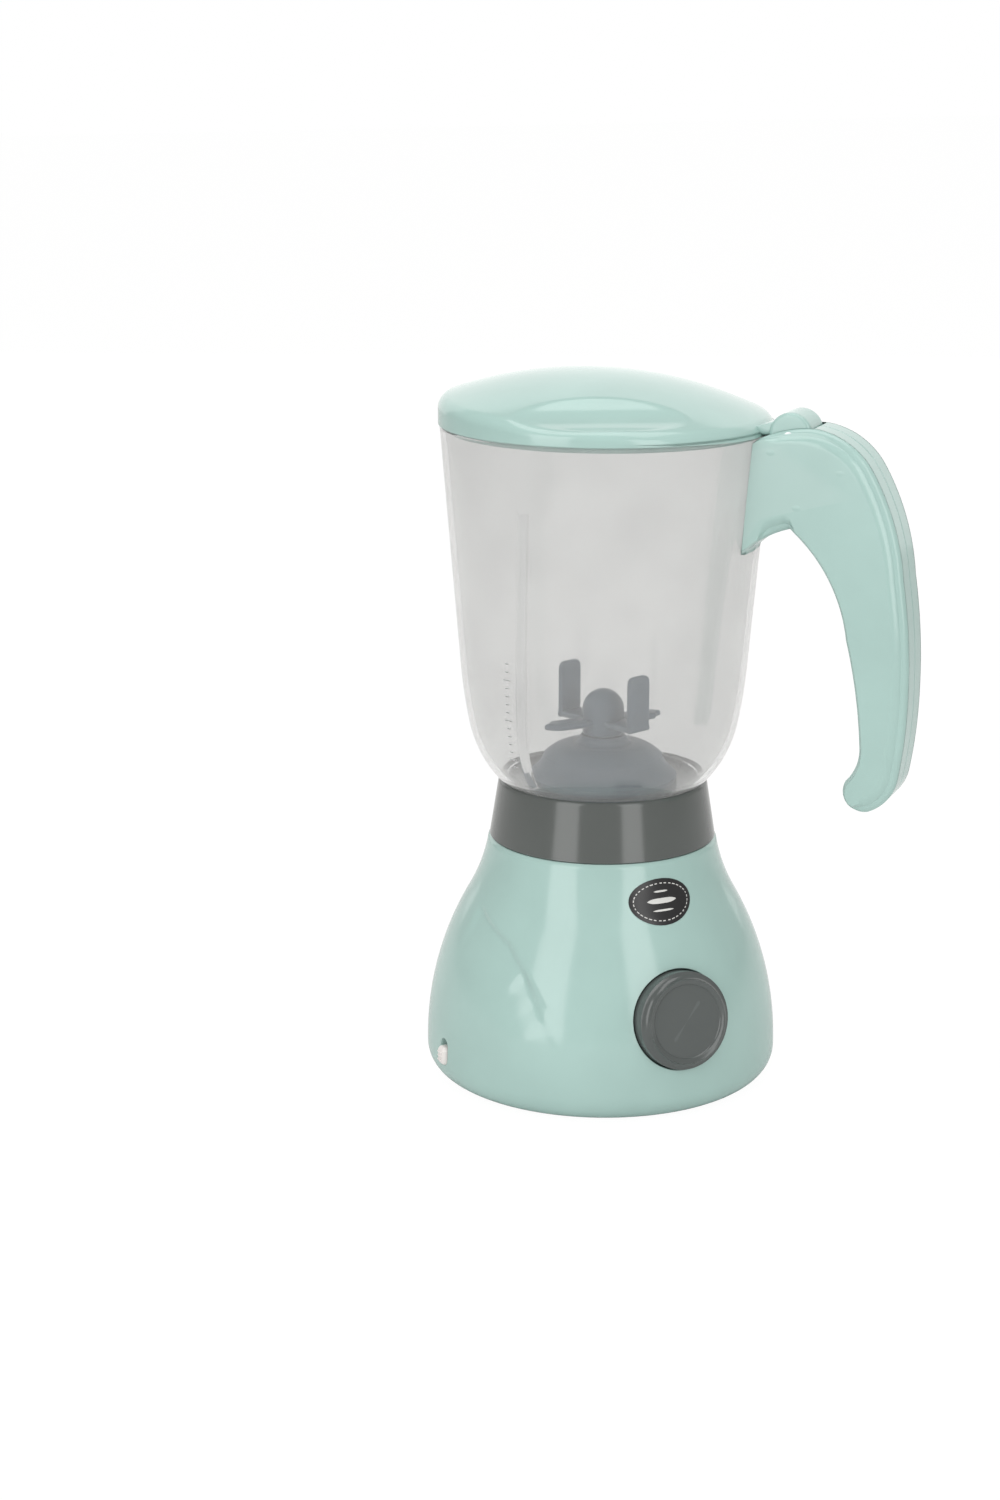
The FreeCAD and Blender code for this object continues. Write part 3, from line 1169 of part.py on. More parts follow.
barrel = across("lid_barrel", d["barrel_radius"], d["hinge_reach"], hinge_z, -d["barrel_width"] / 2,
                d["barrel_width"] / 2)
tongue = block("lid_tongue", (skirt_radius, d["hinge_reach"]),
               (-d["barrel_width"] / 2, d["barrel_width"] / 2), (lid_low, lid_low + d["tongue_thick"]))
lid_body = cut("lid_upper", common("lid_domed", lid_disc, lid_dome), *scoops)
lid_room = cut("lid_room", common("lid_room_domed", inner_dome,
                                  cylinder("lid_room_round", room_radius,
                                           d["lid_crown"] + d["skirt_drop"] + 1,
                                           z=rim - d["skirt_drop"] - 1)), *scoop_walls)
pin_bore = across("pin_bore", d["pin_radius"] + d["turn_gap"], d["hinge_reach"], hinge_z,
                  -d["barrel_width"], d["barrel_width"])
lid = cut("lid_shell", fuse("lid_solid", lid_body, lid_skirt, tongue, barrel), lid_room, pin_bore)
node(turned(lid, HANDLE_TURN), "lid_shell")

# Check and write

doc.recompute()
faults = []
for obj in doc.Objects:
    if "Invalid" in obj.State or "Error" in obj.State:
        faults.append(f"{obj.Name}: {obj.State}")
for obj in nodes:
    if obj.Shape.isNull() or not obj.Shape.isValid() or not obj.Shape.Solids:
        faults.append(f"{obj.Label}: no valid solid")
if faults:
    raise RuntimeError("; ".join(faults))
os.makedirs("parts", exist_ok=True)
for obj in nodes:
    obj.Shape.exportStep(f"parts/{obj.Label}.step")
    box = obj.Shape.optimalBoundingBox(False)
    print(f"{obj.Label}: {len(obj.Shape.Solids)} solid(s), {obj.Shape.Volume:.0f} mm3, "
          f"z {box.ZMin:.2f} to {box.ZMax:.2f}")
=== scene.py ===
"""Toy kitchen blender with a lift-off jug, a hinged lid, a press button and a drive train.

Millimetres are used for sizes inside the operators, metres for what reaches the meshes.
The upright axis of the base is +Z and the button faces -Y, as in the CAD frame.
"""

import math

import bmesh
import bpy
from bpy.props import FloatProperty, FloatVectorProperty, IntProperty, PointerProperty
from mathutils import Matrix, Vector


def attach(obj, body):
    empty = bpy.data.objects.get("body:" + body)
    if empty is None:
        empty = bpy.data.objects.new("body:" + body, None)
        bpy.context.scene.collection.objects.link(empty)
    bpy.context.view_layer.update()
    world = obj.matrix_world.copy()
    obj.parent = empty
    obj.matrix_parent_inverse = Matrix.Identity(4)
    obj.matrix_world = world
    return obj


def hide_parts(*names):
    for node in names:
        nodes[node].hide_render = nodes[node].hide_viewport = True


bl_info = {
    "name": "Toy Blender Dresser",
    "version": (1, 0, 0),
    "blender": (4, 5, 0),
    "location": "View3D > Sidebar > Toy Blender",
    "description": "Finished outer pieces, finishes and a studio for the toy blender",
    "category": "Object",
}

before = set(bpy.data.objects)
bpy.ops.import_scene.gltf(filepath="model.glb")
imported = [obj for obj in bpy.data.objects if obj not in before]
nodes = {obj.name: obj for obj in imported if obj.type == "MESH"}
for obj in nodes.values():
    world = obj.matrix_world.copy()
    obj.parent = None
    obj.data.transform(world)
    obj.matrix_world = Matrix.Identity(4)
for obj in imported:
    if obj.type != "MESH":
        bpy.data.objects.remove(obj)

MM = 0.001
HANDLE_TURN = math.radians(-48.0)
JUG_RIM = (50.2, 204.2)
HINGE = (59.5, 205.0)
BUTTON_CENTRE = (0.0, -52.17, 31.0)
BUTTON_TILT = math.radians(10.0)
SWITCH_CENTRE = (-54.7, 0.0, 12.0)
HOUSING_LINE = [(46.9, 0.0, -8.0), (54.9, 8.0, -97.0), (42.0, 57.5, 55.0), (35.6, 75.2), (34.8, 76.0)]
JUG_LINE = [(32.4, 94.8, -36.2), (41.5, 112.5, -154.0), (44.0, 130.0), (50.2, 204.2)]
HANDLE_LINE = [(-4.2, -3.2, 36), (15.8, 3.3, 24), (34.4, -7.9, 75), (44.8, -39.8, 190),
               (47.4, -74.2, 150), (45.2, -99.2, 14), (36.4, -110.3, 6.2), (29.4, -101.4, -14),
               (33.3, -90.2, -161), (28.2, -58.5, -49), (10.2, -26.7, -30), (-4.2, -35.4),
               (-4.2, -3.2)]
PEG_MARKS = [(54.7, 200.1), (75.7, 195.2), (62.9, 184.2)]
SCREW_PLACES = [(55.6, 191.2), (75.6, 194.0), (61.8, 181.8)]
LEAF_LINE = [(-92.0, 57.6), (-87.9, 57.1), (-65.7, 50.7), (-56.6, 44.0), (-50.6, 36.2), (-45.4, 28.0)]
VEIN_LINE = [(-57.6, 44.7), (-51.0, 39.4), (-44.9, 33.6)]
LEAF_UNROLL = 50.0
PHOTO_TURN = -28.0
CAMERA_SPOT = (-0.4015, -0.7551, 0.3296)
CAMERA_TURN = (math.radians(75.12), 0.0, math.radians(-25.86))
CAMERA_LENS = 68.36


# Sizes and colours

def length(label, value, text):
    """A size in metres, given in millimetres."""
    return FloatProperty(name=label, description=text, default=value * MM, unit="LENGTH", precision=5)


def colour(label, value, text):
    """A linear colour."""
    return FloatVectorProperty(name=label, description=text, default=value, size=3, subtype="COLOR",
                               min=0.0, max=1.0)


class ToyBlenderLooks(bpy.types.PropertyGroup):
    """Sizes and colours of the finished pieces."""

    hole_radius: length("Button hole", 15.45, "radius of the hole round the button")
    leaf_depth: length("Leaf depth", 0.95, "depth of the leaf relief in the housing")
    leaf_reach: length("Leaf reach", 9.0, "width over which the leaf relief fades")
    button_radius: length("Button", 14.9, "radius of the button")
    button_out: length("Button proud", 4.2, "button above the housing")
    button_rim: length("Button rim", 3.2, "width of the rounded button rim")
    button_dish: length("Button dish", 0.8, "depth of the dish in the button")
    badge_width: length("Badge width", 21.0, "width of the oval badge")
    badge_height: length("Badge height", 13.2, "height of the oval badge")
    badge_level: length("Badge level", 64.5, "height of the badge's centre")
    badge_dashes: IntProperty(name="Badge dashes", description="dashes in the badge's border",
                              default=34, min=8, max=80)
    wall: length("Jug wall", 1.8, "wall of the jug")
    rib_width: length("Jug rib", 3.6, "width of the long rib on the jug")
    rib_height: length("Jug rib height", 0.45, "height of the rib on the jug wall")
    tick_count: IntProperty(name="Ticks", description="graduation ticks", default=14, min=2, max=40)
    tick_step: length("Tick step", 2.55, "distance between graduation ticks")
    handle_half: length("Handle half width", 8.6, "middle of the handle to its edge")
    handle_full: length("Handle panel", 9.95, "middle of the handle to its side panel")
    handle_round: length("Handle edge", 2.0, "rounding of the handle's edges")
    handle_band: length("Handle band", 3.4, "sloped band inside the handle's edge")
    lid_radius: length("Lid", 50.65, "radius of the lid")
    lid_top: length("Lid top", 220.3, "top of the dome")
    lid_bow: length("Lid bow", 128.0, "radius of the dome")
    lid_shift: length("Lid shift", 7.0, "top of the dome away from the handle")
    lid_round: length("Lid rim", 2.8, "rounding of the lid's upper edge")
    scoop_radius: length("Scoop", 26.0, "radius of the finger scoops")
    scoop_reach: length("Scoop reach", 47.0, "scoop axis from the jug axis")
    scoop_floor: length("Scoop floor", 209.2, "lowest line of a scoop")
    mint: colour("Mint", (0.350, 0.505, 0.470), "housing, lid and handle")
    grey: colour("Grey", (0.092, 0.100, 0.096), "collar")
    button_grey: colour("Button grey", (0.080, 0.090, 0.088), "button")
    smoke: colour("Clear plastic", (0.785, 0.785, 0.778), "jug")
    blue_grey: colour("Blue grey", (0.060, 0.094, 0.124), "blades and their seat")
    ivory: colour("Ivory", (0.74, 0.70, 0.68), "switch")
    badge_black: colour("Badge", (0.012, 0.012, 0.013), "badge film")
    badge_print: colour("Badge print", (0.62, 0.62, 0.60), "border of the badge")


def looks():
    """The sizes and colours of the open scene."""
    return bpy.context.scene.toy_blender


def size(name):
    """A size of the property group in millimetres."""
    return getattr(looks(), name) / MM


# Shape helpers

def arc_path(points, step=1.2):
    """Points along lines and arcs. A third number is the radius of the arc to the next point,
    bulging left of the travel where it is positive."""
    path = []
    for start, end in zip(points, points[1:]):
        begin, dx, dy = start[:2], end[0] - start[0], end[1] - start[1]
        chord = math.hypot(dx, dy)
        radius = start[2] if len(start) > 2 else 0.0
        if radius == 0.0:
            count = max(1, round(chord / step))
            path += [(begin[0] + dx * i / count, begin[1] + dy * i / count) for i in range(count)]
            continue
        side = 1 if radius > 0 else -1
        radius = max(abs(radius), chord / 2)
        rise = math.sqrt(radius * radius - chord * chord / 4)
        middle = (begin[0] + dx / 2 + side * dy / chord * rise, begin[1] + dy / 2 - side * dx / chord * rise)
        first = math.atan2(begin[1] - middle[1], begin[0] - middle[0])
        sweep = -side * 2 * math.asin(chord / 2 / radius)
        count = max(3, round(abs(sweep) * radius / step))
        path += [(middle[0] + radius * math.cos(first + sweep * i / count),
                  middle[1] + radius * math.sin(first + sweep * i / count)) for i in range(count)]
    return path + [tuple(points[-1][:2])]


def blend_low(first, second, width):
    """The lower of two heights, with a soft crease."""
    share = max(0.0, min(1.0, 0.5 + 0.5 * (second - first) / width))
    return second + (first - second) * share - width * share * (1 - share) * 0.5


def radius_on(path, z):
    """Radius of a turned surface at a height."""
    for (r0, z0), (r1, z1) in zip(path, path[1:]):
        if min(z0, z1) <= z <= max(z0, z1) and z0 != z1:
            return r0 + (r1 - r0) * (z - z0) / (z1 - z0)
    return path[-1][0] if z > path[-1][1] else path[0][0]


def lathe(bm, profile, steps=160, place=None):
    """Turns a profile of (radius, height) about the upright axis and sets it in place."""
    row = [bm.verts.new((r * MM, 0.0, z * MM)) for r, z in profile]
    rims = [bm.edges.new(pair) for pair in zip(row, row[1:])]
    before = set(bm.verts) - set(row)
    bmesh.ops.spin(bm, geom=row + rims, cent=(0, 0, 0), axis=(0, 0, 1), angle=math.tau, steps=steps,
                   use_merge=True, use_duplicate=False)
    made = [v for v in bm.verts if v not in before]
    bmesh.ops.remove_doubles(bm, verts=made, dist=1e-7)
    made = [v for v in bm.verts if v not in before]
    if place is not None:
        bmesh.ops.transform(bm, matrix=place, verts=made)
    return made


def stack(bm, loops):
    """Skins a row of like loops of points in metres; returns the edges of the last one."""
    ring = [bm.verts.new(p) for p in loops[0]]
    for pair in zip(ring, ring[1:] + ring[:1]):
        bm.edges.new(pair)
    for loop in loops[1:]:
        edges = [bm.edges.get(pair) for pair in zip(ring, ring[1:] + ring[:1])]
        made = bmesh.ops.extrude_edge_only(bm, edges=edges)["geom"]
        twins = {v.co.to_tuple(7): v for v in made if isinstance(v, bmesh.types.BMVert)}
        ring = [twins[v.co.to_tuple(7)] for v in ring]
        for vert, point in zip(ring, loop):
            vert.co = point
    return [bm.edges.get(pair) for pair in zip(ring, ring[1:] + ring[:1])]


def rounded_block(bm, low, high, round_by, segments=4, place=None):
    """A block between two corners in millimetres, with rounded edges."""
    made = bmesh.ops.create_cube(bm, size=1.0)["verts"]
    middle = [(a + b) / 2 * MM for a, b in zip(low, high)]
    spans = [(b - a) * MM for a, b in zip(low, high)]
    bmesh.ops.scale(bm, vec=spans, verts=made)
    bmesh.ops.translate(bm, vec=middle, verts=made)
    if place is not None:
        bmesh.ops.transform(bm, matrix=place, verts=made)
    edges = list({e for v in made for e in v.link_edges})
    bmesh.ops.bevel(bm, geom=edges, offset=round_by * MM, segments=segments, profile=0.5,
                    affect="EDGES", material=-1, clamp_overlap=True)


def piece(name, bm, body, finish, replaced=(), crease=38.0):
    """Turns a finished mesh into a piece that rides on a CAD body."""
    bmesh.ops.recalc_face_normals(bm, faces=bm.faces)
    mesh = bpy.data.meshes.new(name)
    bm.to_mesh(mesh)
    bm.free()
    mesh.materials.append(finish)
    mesh.polygons.foreach_set("use_smooth", [True] * len(mesh.polygons))
    mesh.set_sharp_from_angle(angle=math.radians(crease))
    obj = bpy.data.objects.new(name, mesh)
    bpy.context.scene.collection.objects.link(obj)
    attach(obj, body)
    if replaced:
        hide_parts(*replaced)
    return obj


def axis_frame(centre, outward, up=Vector((0, 0, 1))):
    """Matrix that takes +Z to the outward direction at a centre in millimetres."""
    z = Vector(outward).normalized()
    x = up.cross(z).normalized()
    y = z.cross(x)
    turn = Matrix((x, y, z)).transposed().to_4x4()
    return Matrix.Translation(Vector(centre) * MM) @ turn


def button_frame():
    """Matrix that takes +Z to the button's axis, outwards."""
    return axis_frame(BUTTON_CENTRE, (0, -math.cos(BUTTON_TILT), math.sin(BUTTON_TILT)))


def line_distance(point, line):
    """Distance to an open line of points, its side (left of travel positive) and share along it."""
    best = (1e9, 1.0, 0.0)
    for index, (a, b) in enumerate(zip(line, line[1:])):
        span = Vector(b) - Vector(a)
        gap = Vector(point) - Vector(a)
        share = max(0.0, min(1.0, gap.dot(span) / span.length_squared))
        away = (gap - span * share).length
        if away < best[0]:
            side = 1.0 if span.x * gap.y - span.y * gap.x > 0 else -1.0
            best = (away, side, (index + share) / (len(line) - 1))
    return best


# Finishes

def socket(tree, label, kind, way, value=None):
    """A socket of a node group, with its standard value."""
    made = tree.interface.new_socket(name=label, in_out=way, socket_type=kind)
    if value is not None:
        made.default_value = value


def grain_and_edge_highlight_group():
    """Node group that mottles a colour, varies roughness, paints a highlight on sharp edges and bumps the
    normal.
    """
    if "moulded_grain_and_edge_highlight" in bpy.data.node_groups:
        return bpy.data.node_groups["moulded_grain_and_edge_highlight"]
    tree = bpy.data.node_groups.new("moulded_grain_and_edge_highlight", "ShaderNodeTree")
    socket(tree, "Colour", "NodeSocketColor", "INPUT")
    socket(tree, "Roughness", "NodeSocketFloat", "INPUT", 0.3)
    socket(tree, "Fineness", "NodeSocketFloat", "INPUT", 900.0)
    socket(tree, "Depth", "NodeSocketFloat", "INPUT", 0.02)
    socket(tree, "Edge highlight", "NodeSocketFloat", "INPUT", 0.2)
    socket(tree, "Colour", "NodeSocketColor", "OUTPUT")
    socket(tree, "Roughness", "NodeSocketFloat", "OUTPUT")
    socket(tree, "Normal", "NodeSocketVector", "OUTPUT")
    add, link = tree.nodes.new, tree.links.new
    entry, leave = add("NodeGroupInput"), add("NodeGroupOutput")
    place = add("ShaderNodeTexCoord")
    broad = add("ShaderNodeTexNoise")
    broad.inputs["Scale"].default_value = 38.0
    broad.inputs["Detail"].default_value = 3.0
    fine = add("ShaderNodeTexNoise")
    fine.inputs["Detail"].default_value = 2.0
    for noise in (broad, fine):
        link(place.outputs["Object"], noise.inputs["Vector"])
    link(entry.outputs["Fineness"], fine.inputs["Scale"])
    mottle = add("ShaderNodeMapRange")
    mottle.inputs["From Min"].default_value, mottle.inputs["From Max"].default_value = 0.3, 0.7
    mottle.inputs["To Min"].default_value, mottle.inputs["To Max"].default_value = 0.965, 1.035
    link(broad.outputs["Fac"], mottle.inputs["Value"])
    tint = add("ShaderNodeVectorMath")
    tint.operation = "SCALE"
    link(entry.outputs["Colour"], tint.inputs[0])
    link(mottle.outputs["Result"], tint.inputs["Scale"])
    # Painted highlight: sharp edges, found by pointiness, are lightened towards a pale mint
    shape = add("ShaderNodeNewGeometry")
    edge = add("ShaderNodeMapRange")
    edge.inputs["From Min"].default_value, edge.inputs["From Max"].default_value = 0.53, 0.62
    link(shape.outputs["Pointiness"], edge.inputs["Value"])
    edge_highlight_share = add("ShaderNodeMath")
    edge_highlight_share.operation = "MULTIPLY"
    link(edge.outputs["Result"], edge_highlight_share.inputs[0])
    link(entry.outputs["Edge highlight"], edge_highlight_share.inputs[1])
    edge_highlight_mix = add("ShaderNodeMix")
    edge_highlight_mix.data_type = "RGBA"
    link(edge_highlight_share.outputs["Value"], edge_highlight_mix.inputs["Factor"])
    link(tint.outputs["Vector"], edge_highlight_mix.inputs["A"])
    edge_highlight_mix.inputs["B"].default_value = (0.55, 0.62, 0.60, 1.0)
    link(edge_highlight_mix.outputs["Result"], leave.inputs["Colour"])
    rough = add("ShaderNodeMath")
    rough.operation = "MULTIPLY_ADD"
    link(fine.outputs["Fac"], rough.inputs[0])
    rough.inputs[1].default_value = 0.05
    link(entry.outputs["Roughness"], rough.inputs[2])
    link(rough.outputs["Value"], leave.inputs["Roughness"])
    bump = add("ShaderNodeBump")
    bump.inputs["Distance"].default_value = 0.00025
    link(entry.outputs["Depth"], bump.inputs["Strength"])
    link(fine.outputs["Fac"], bump.inputs["Height"])
    link(bump.outputs["Normal"], leave.inputs["Normal"])
    return tree


def seen_ray(tree):
    """1 for what the camera sees, also through the jug, and 0 for all other light."""
    way, seen = tree.nodes.new("ShaderNodeLightPath"), tree.nodes.new("ShaderNodeMath")
    seen.operation = "MAXIMUM"
    tree.links.new(way.outputs["Is Camera Ray"], seen.inputs[0])
    tree.links.new(way.outputs["Is Transmission Ray"], seen.inputs[1])
    return seen.outputs["Value"]


def mix_into(tree, share, first, second, output):
    """Sends a mix of two shaders to an output node."""
    mix = tree.nodes.new("ShaderNodeMixShader")
    tree.links.new(share, mix.inputs["Fac"])
    tree.links.new(first, mix.inputs[1])
    tree.links.new(second, mix.inputs[2])
    tree.links.new(mix.outputs["Shader"], tree.nodes[output].inputs["Surface"])


def finish(name, tone, roughness, fineness=900.0, depth=0.03, edge_highlight=0.15, metallic=0.0,
           transmission=0.0, ior=1.5):
    """A procedural finish. A see-through one lets light past, so that what is inside is lit."""
    known = bpy.data.materials.get(name)
    if known and known.use_nodes and "grain" in known.node_tree.nodes:
        return known
    made = bpy.data.materials.new(name)
    made.use_nodes = True
    made.diffuse_color = (*tone, 1.0)
    tree = made.node_tree
    shader = tree.nodes["Principled BSDF"]
    grain = tree.nodes.new("ShaderNodeGroup")
    grain.name = "grain"
    grain.node_tree = grain_and_edge_highlight_group()
    # The fifth value sets the painted highlight that lightens sharp edges
    for label, value in (("Colour", (*tone, 1.0)), ("Roughness", roughness), ("Fineness", fineness),
                         ("Depth", depth), ("Edge highlight", edge_highlight)):
        grain.inputs[label].default_value = value
    tree.links.new(grain.outputs["Colour"], shader.inputs["Base Color"])
    tree.links.new(grain.outputs["Roughness"], shader.inputs["Roughness"])
    tree.links.new(grain.outputs["Normal"], shader.inputs["Normal"])
    shader.inputs["Metallic"].default_value = metallic
    shader.inputs["IOR"].default_value = ior
    if transmission:
        shader.inputs["Transmission Weight"].default_value = transmission
        way, through = (tree.nodes.new(kind) for kind in (
            "ShaderNodeLightPath", "ShaderNodeBsdfTransparent"))
        through.inputs["Color"].default_value = (0.86, 0.86, 0.86, 1.0)
        mix_into(tree, way.outputs["Is Shadow Ray"], shader.outputs["BSDF"], through.outputs["BSDF"],
                 "Material Output")
    return made


def mint():
    """Glossy mint plastic of the housing, handle and lid."""
    return finish("mint_plastic_finish", looks().mint, 0.11, 1100.0, 0.006, 0.10)


def blue_grey():
    """Blue-grey plastic of the blades and their seat."""
    return finish("blade_plastic_finish", looks().blue_grey, 0.34, 1100.0, 0.03, 0.10)


def clear():
    """Clear, slightly smoky plastic of the jug, with a glossy coat."""
    made = finish("clear_plastic_finish", looks().smoke, 0.02, 60.0, 0.0, 0.0, transmission=0.90, ior=1.16)
    shader = made.node_tree.nodes["Principled BSDF"]
    shader.inputs["Coat Weight"].default_value = 1.0
    shader.inputs["Coat Roughness"].default_value = 0.06
    return made


# Pieces

class TOYBLENDER_OT_housing(bpy.types.Operator):
    """Base housing with its leaf relief, button hole and switch slot"""

    bl_idname = "toyblender.housing"
    bl_label = "Base housing"

    def execute(self, context):
        line = arc_path(HOUSING_LINE, 0.9)
        lip = [(44.7, 0.9), (44.7, 0.0)]
        deck = [(33.0, 76.0), (20.0, 76.0), (7.0, 76.0), (7.0, 73.8), (9.0, 73.8)]
        bm = bmesh.new()
        lathe(bm, lip + line + deck, 340)
        self.press_leaf(bm, line)
        self.open_hole(bm, button_frame(), line, radius=size("hole_radius"), half=0.0, depth=9.0)
        self.open_hole(bm, axis_frame(SWITCH_CENTRE, (-1, 0, 0)), line, radius=2.6, half=1.8, depth=3.0)
        piece("housing", bm, "base", mint(), ["base_housing"])
        return {"FINISHED"}

    def press_leaf(self, bm, line):
        """Sinks the housing on the low side of the leaf's creases."""
        depth, reach = size("leaf_depth"), size("leaf_reach")
        leaf = [(math.radians(a) * LEAF_UNROLL, z) for a, z in LEAF_LINE]
        vein = [(math.radians(a) * LEAF_UNROLL, z) for a, z in VEIN_LINE]
        for vert in bm.verts:
            x, y, z = vert.co / MM
            turn = math.atan2(x, -y)
            if not (math.radians(-105) < turn < math.radians(-25) and 12 < z < 66):
                continue
            if abs(math.hypot(x, y) - radius_on(line, z)) > 0.5:
                continue
            sink = 0.0
            for crease, share in ((leaf, 1.0), (vein, 0.55)):
                away, side, along = line_distance((turn * LEAF_UNROLL, z), crease)
                ends = min(1.0, along * 5.0) * min(1.0, (1.0 - along) * 3.0 + 0.12)
                signed = -away * side
                if signed > -0.6:
                    edge = min(1.0, (signed + 0.6) / 1.2)
                    sink += depth * share * ends * edge * math.exp(-(max(0.0, signed) / reach) ** 2)
            scale = (math.hypot(x, y) - sink) / math.hypot(x, y)
            vert.co.x *= scale
            vert.co.y *= scale

    def open_hole(self, bm, place, line, radius, half, depth):
        """Opens a round hole, or a slot with its ends half apart from its middle, and turns its
        edge inwards."""
        back = place.inverted()
        same_side = 12

        def spot(co):
            """A point in the hole's frame, the middle of the nearer end, and the distance to it."""
            local = back @ co / MM
            end = max(-half, min(half, local.y))
            return local, end, math.hypot(local.x, local.y - end)

        def near(co, reach):
            """Whether a point of this side of the housing lies within reach of the hole's middle."""
            local, _, away = spot(co)
            return away < reach and abs(local.z) < same_side

        inner = [f for f in bm.faces if near(f.calc_center_median(), radius)]
        bmesh.ops.delete(bm, geom=inner, context="FACES")
        rim = [e for e in bm.edges if e.is_boundary and near(e.verts[0].co, radius + 3)]
        for vert in {v for e in rim for v in e.verts}:
            local, end, away = spot(vert.co)
            u = local.x * radius / away
            v = end + (local.y - end) * radius / away
            level = local.z
            for _ in range(12):
                point = place @ (Vector((u, v, level)) * MM) / MM
                level += radius_on(line, point.z) - math.hypot(point.x, point.y)
            vert.co = place @ (Vector((u, v, level)) * MM)
        inward = -(place.to_3x3() @ Vector((0, 0, 1)))
        for step, shrink in ((0.35, 0.25), (depth, 0.0)):
            made = bmesh.ops.extrude_edge_only(bm, edges=rim)["geom"]
            verts = [g for g in made if isinstance(g, bmesh.types.BMVert)]
            for vert in verts:
                local, end, away = spot(vert.co)
                pull = (away - shrink) / away
                local.x *= pull
                local.y = end + (local.y - end) * pull
                vert.co = place @ (local * MM) + inward * step * MM
            rim = [g for g in made if isinstance(g, bmesh.types.BMEdge) and g.is_boundary]


class TOYBLENDER_OT_collar(bpy.types.Operator):
    """Grey collar ring that takes the jug's foot"""

    bl_idname = "toyblender.collar"
    bl_label = "Collar ring"

    def execute(self, context):
        line = [(25.2, 77.7), (25.2, 76.1), (34.7, 76.1), (35.08, 76.45), (32.4, 93.4, -1.3), (31.1, 94.7),
                (30.6, 94.7, -0.3), (30.3, 94.4), (30.3, 77.9), (25.2, 77.7)]
        bm = bmesh.new()
        lathe(bm, arc_path(line, 0.6), 200)
        tone = finish("collar_plastic_finish", looks().grey, 0.12, 1200.0, 0.006, 0.04)
        piece("collar", bm, "base", tone, ["collar_ring"])
        return {"FINISHED"}


class TOYBLENDER_OT_button(bpy.types.Operator):
    """Press button with a rounded rim and a shallow dish"""

    bl_idname = "toyblender.button"
    bl_label = "Press button"

    def execute(self, context):
        radius, out, rim, dish = (size(n) for n in ("button_radius", "button_out", "button_rim",
                                                    "button_dish"))
        bed = radius - rim
        line = [(0.0, out - dish - 0.1), (bed - 0.6, out - dish, 1.0), (bed + 0.1, out - dish + 0.5, -1.6),
                (bed + 1.0, out, -rim * 0.85), (radius, out - rim * 0.72), (radius, -7.0),
                (radius - 1.6, -7.0), (radius - 1.6, -1.0), (0.0, -1.0)]
        bm = bmesh.new()
        lathe(bm, arc_path(line, 0.5), 128, button_frame())
        tone = finish("button_plastic_finish", looks().button_grey, 0.14, 1200.0, 0.006, 0.04)
        piece("button", bm, "button", tone, ["button_cap"])
        return {"FINISHED"}


class TOYBLENDER_OT_switch(bpy.types.Operator):
    """Power switch's thumb piece with three grip ribs"""

    bl_idname = "toyblender.switch"
    bl_label = "Power switch"

    def execute(self, context):
        bm = bmesh.new()
        rounded_block(bm, (-56.35, -2.25, 7.95), (-50.5, 2.25, 13.85), 1.5, 6)
        for level in (9.6, 10.9, 12.2):
            rounded_block(bm, (-56.58, -1.3, level - 0.28), (-55.4, 1.3, level + 0.28), 0.2, 3)
        tone = finish("switch_plastic_finish", looks().ivory, 0.34, 1200.0, 0.03, 0.05)
        piece("switch_thumb", bm, "slider", tone, ["power_slider"])
        return {"FINISHED"}


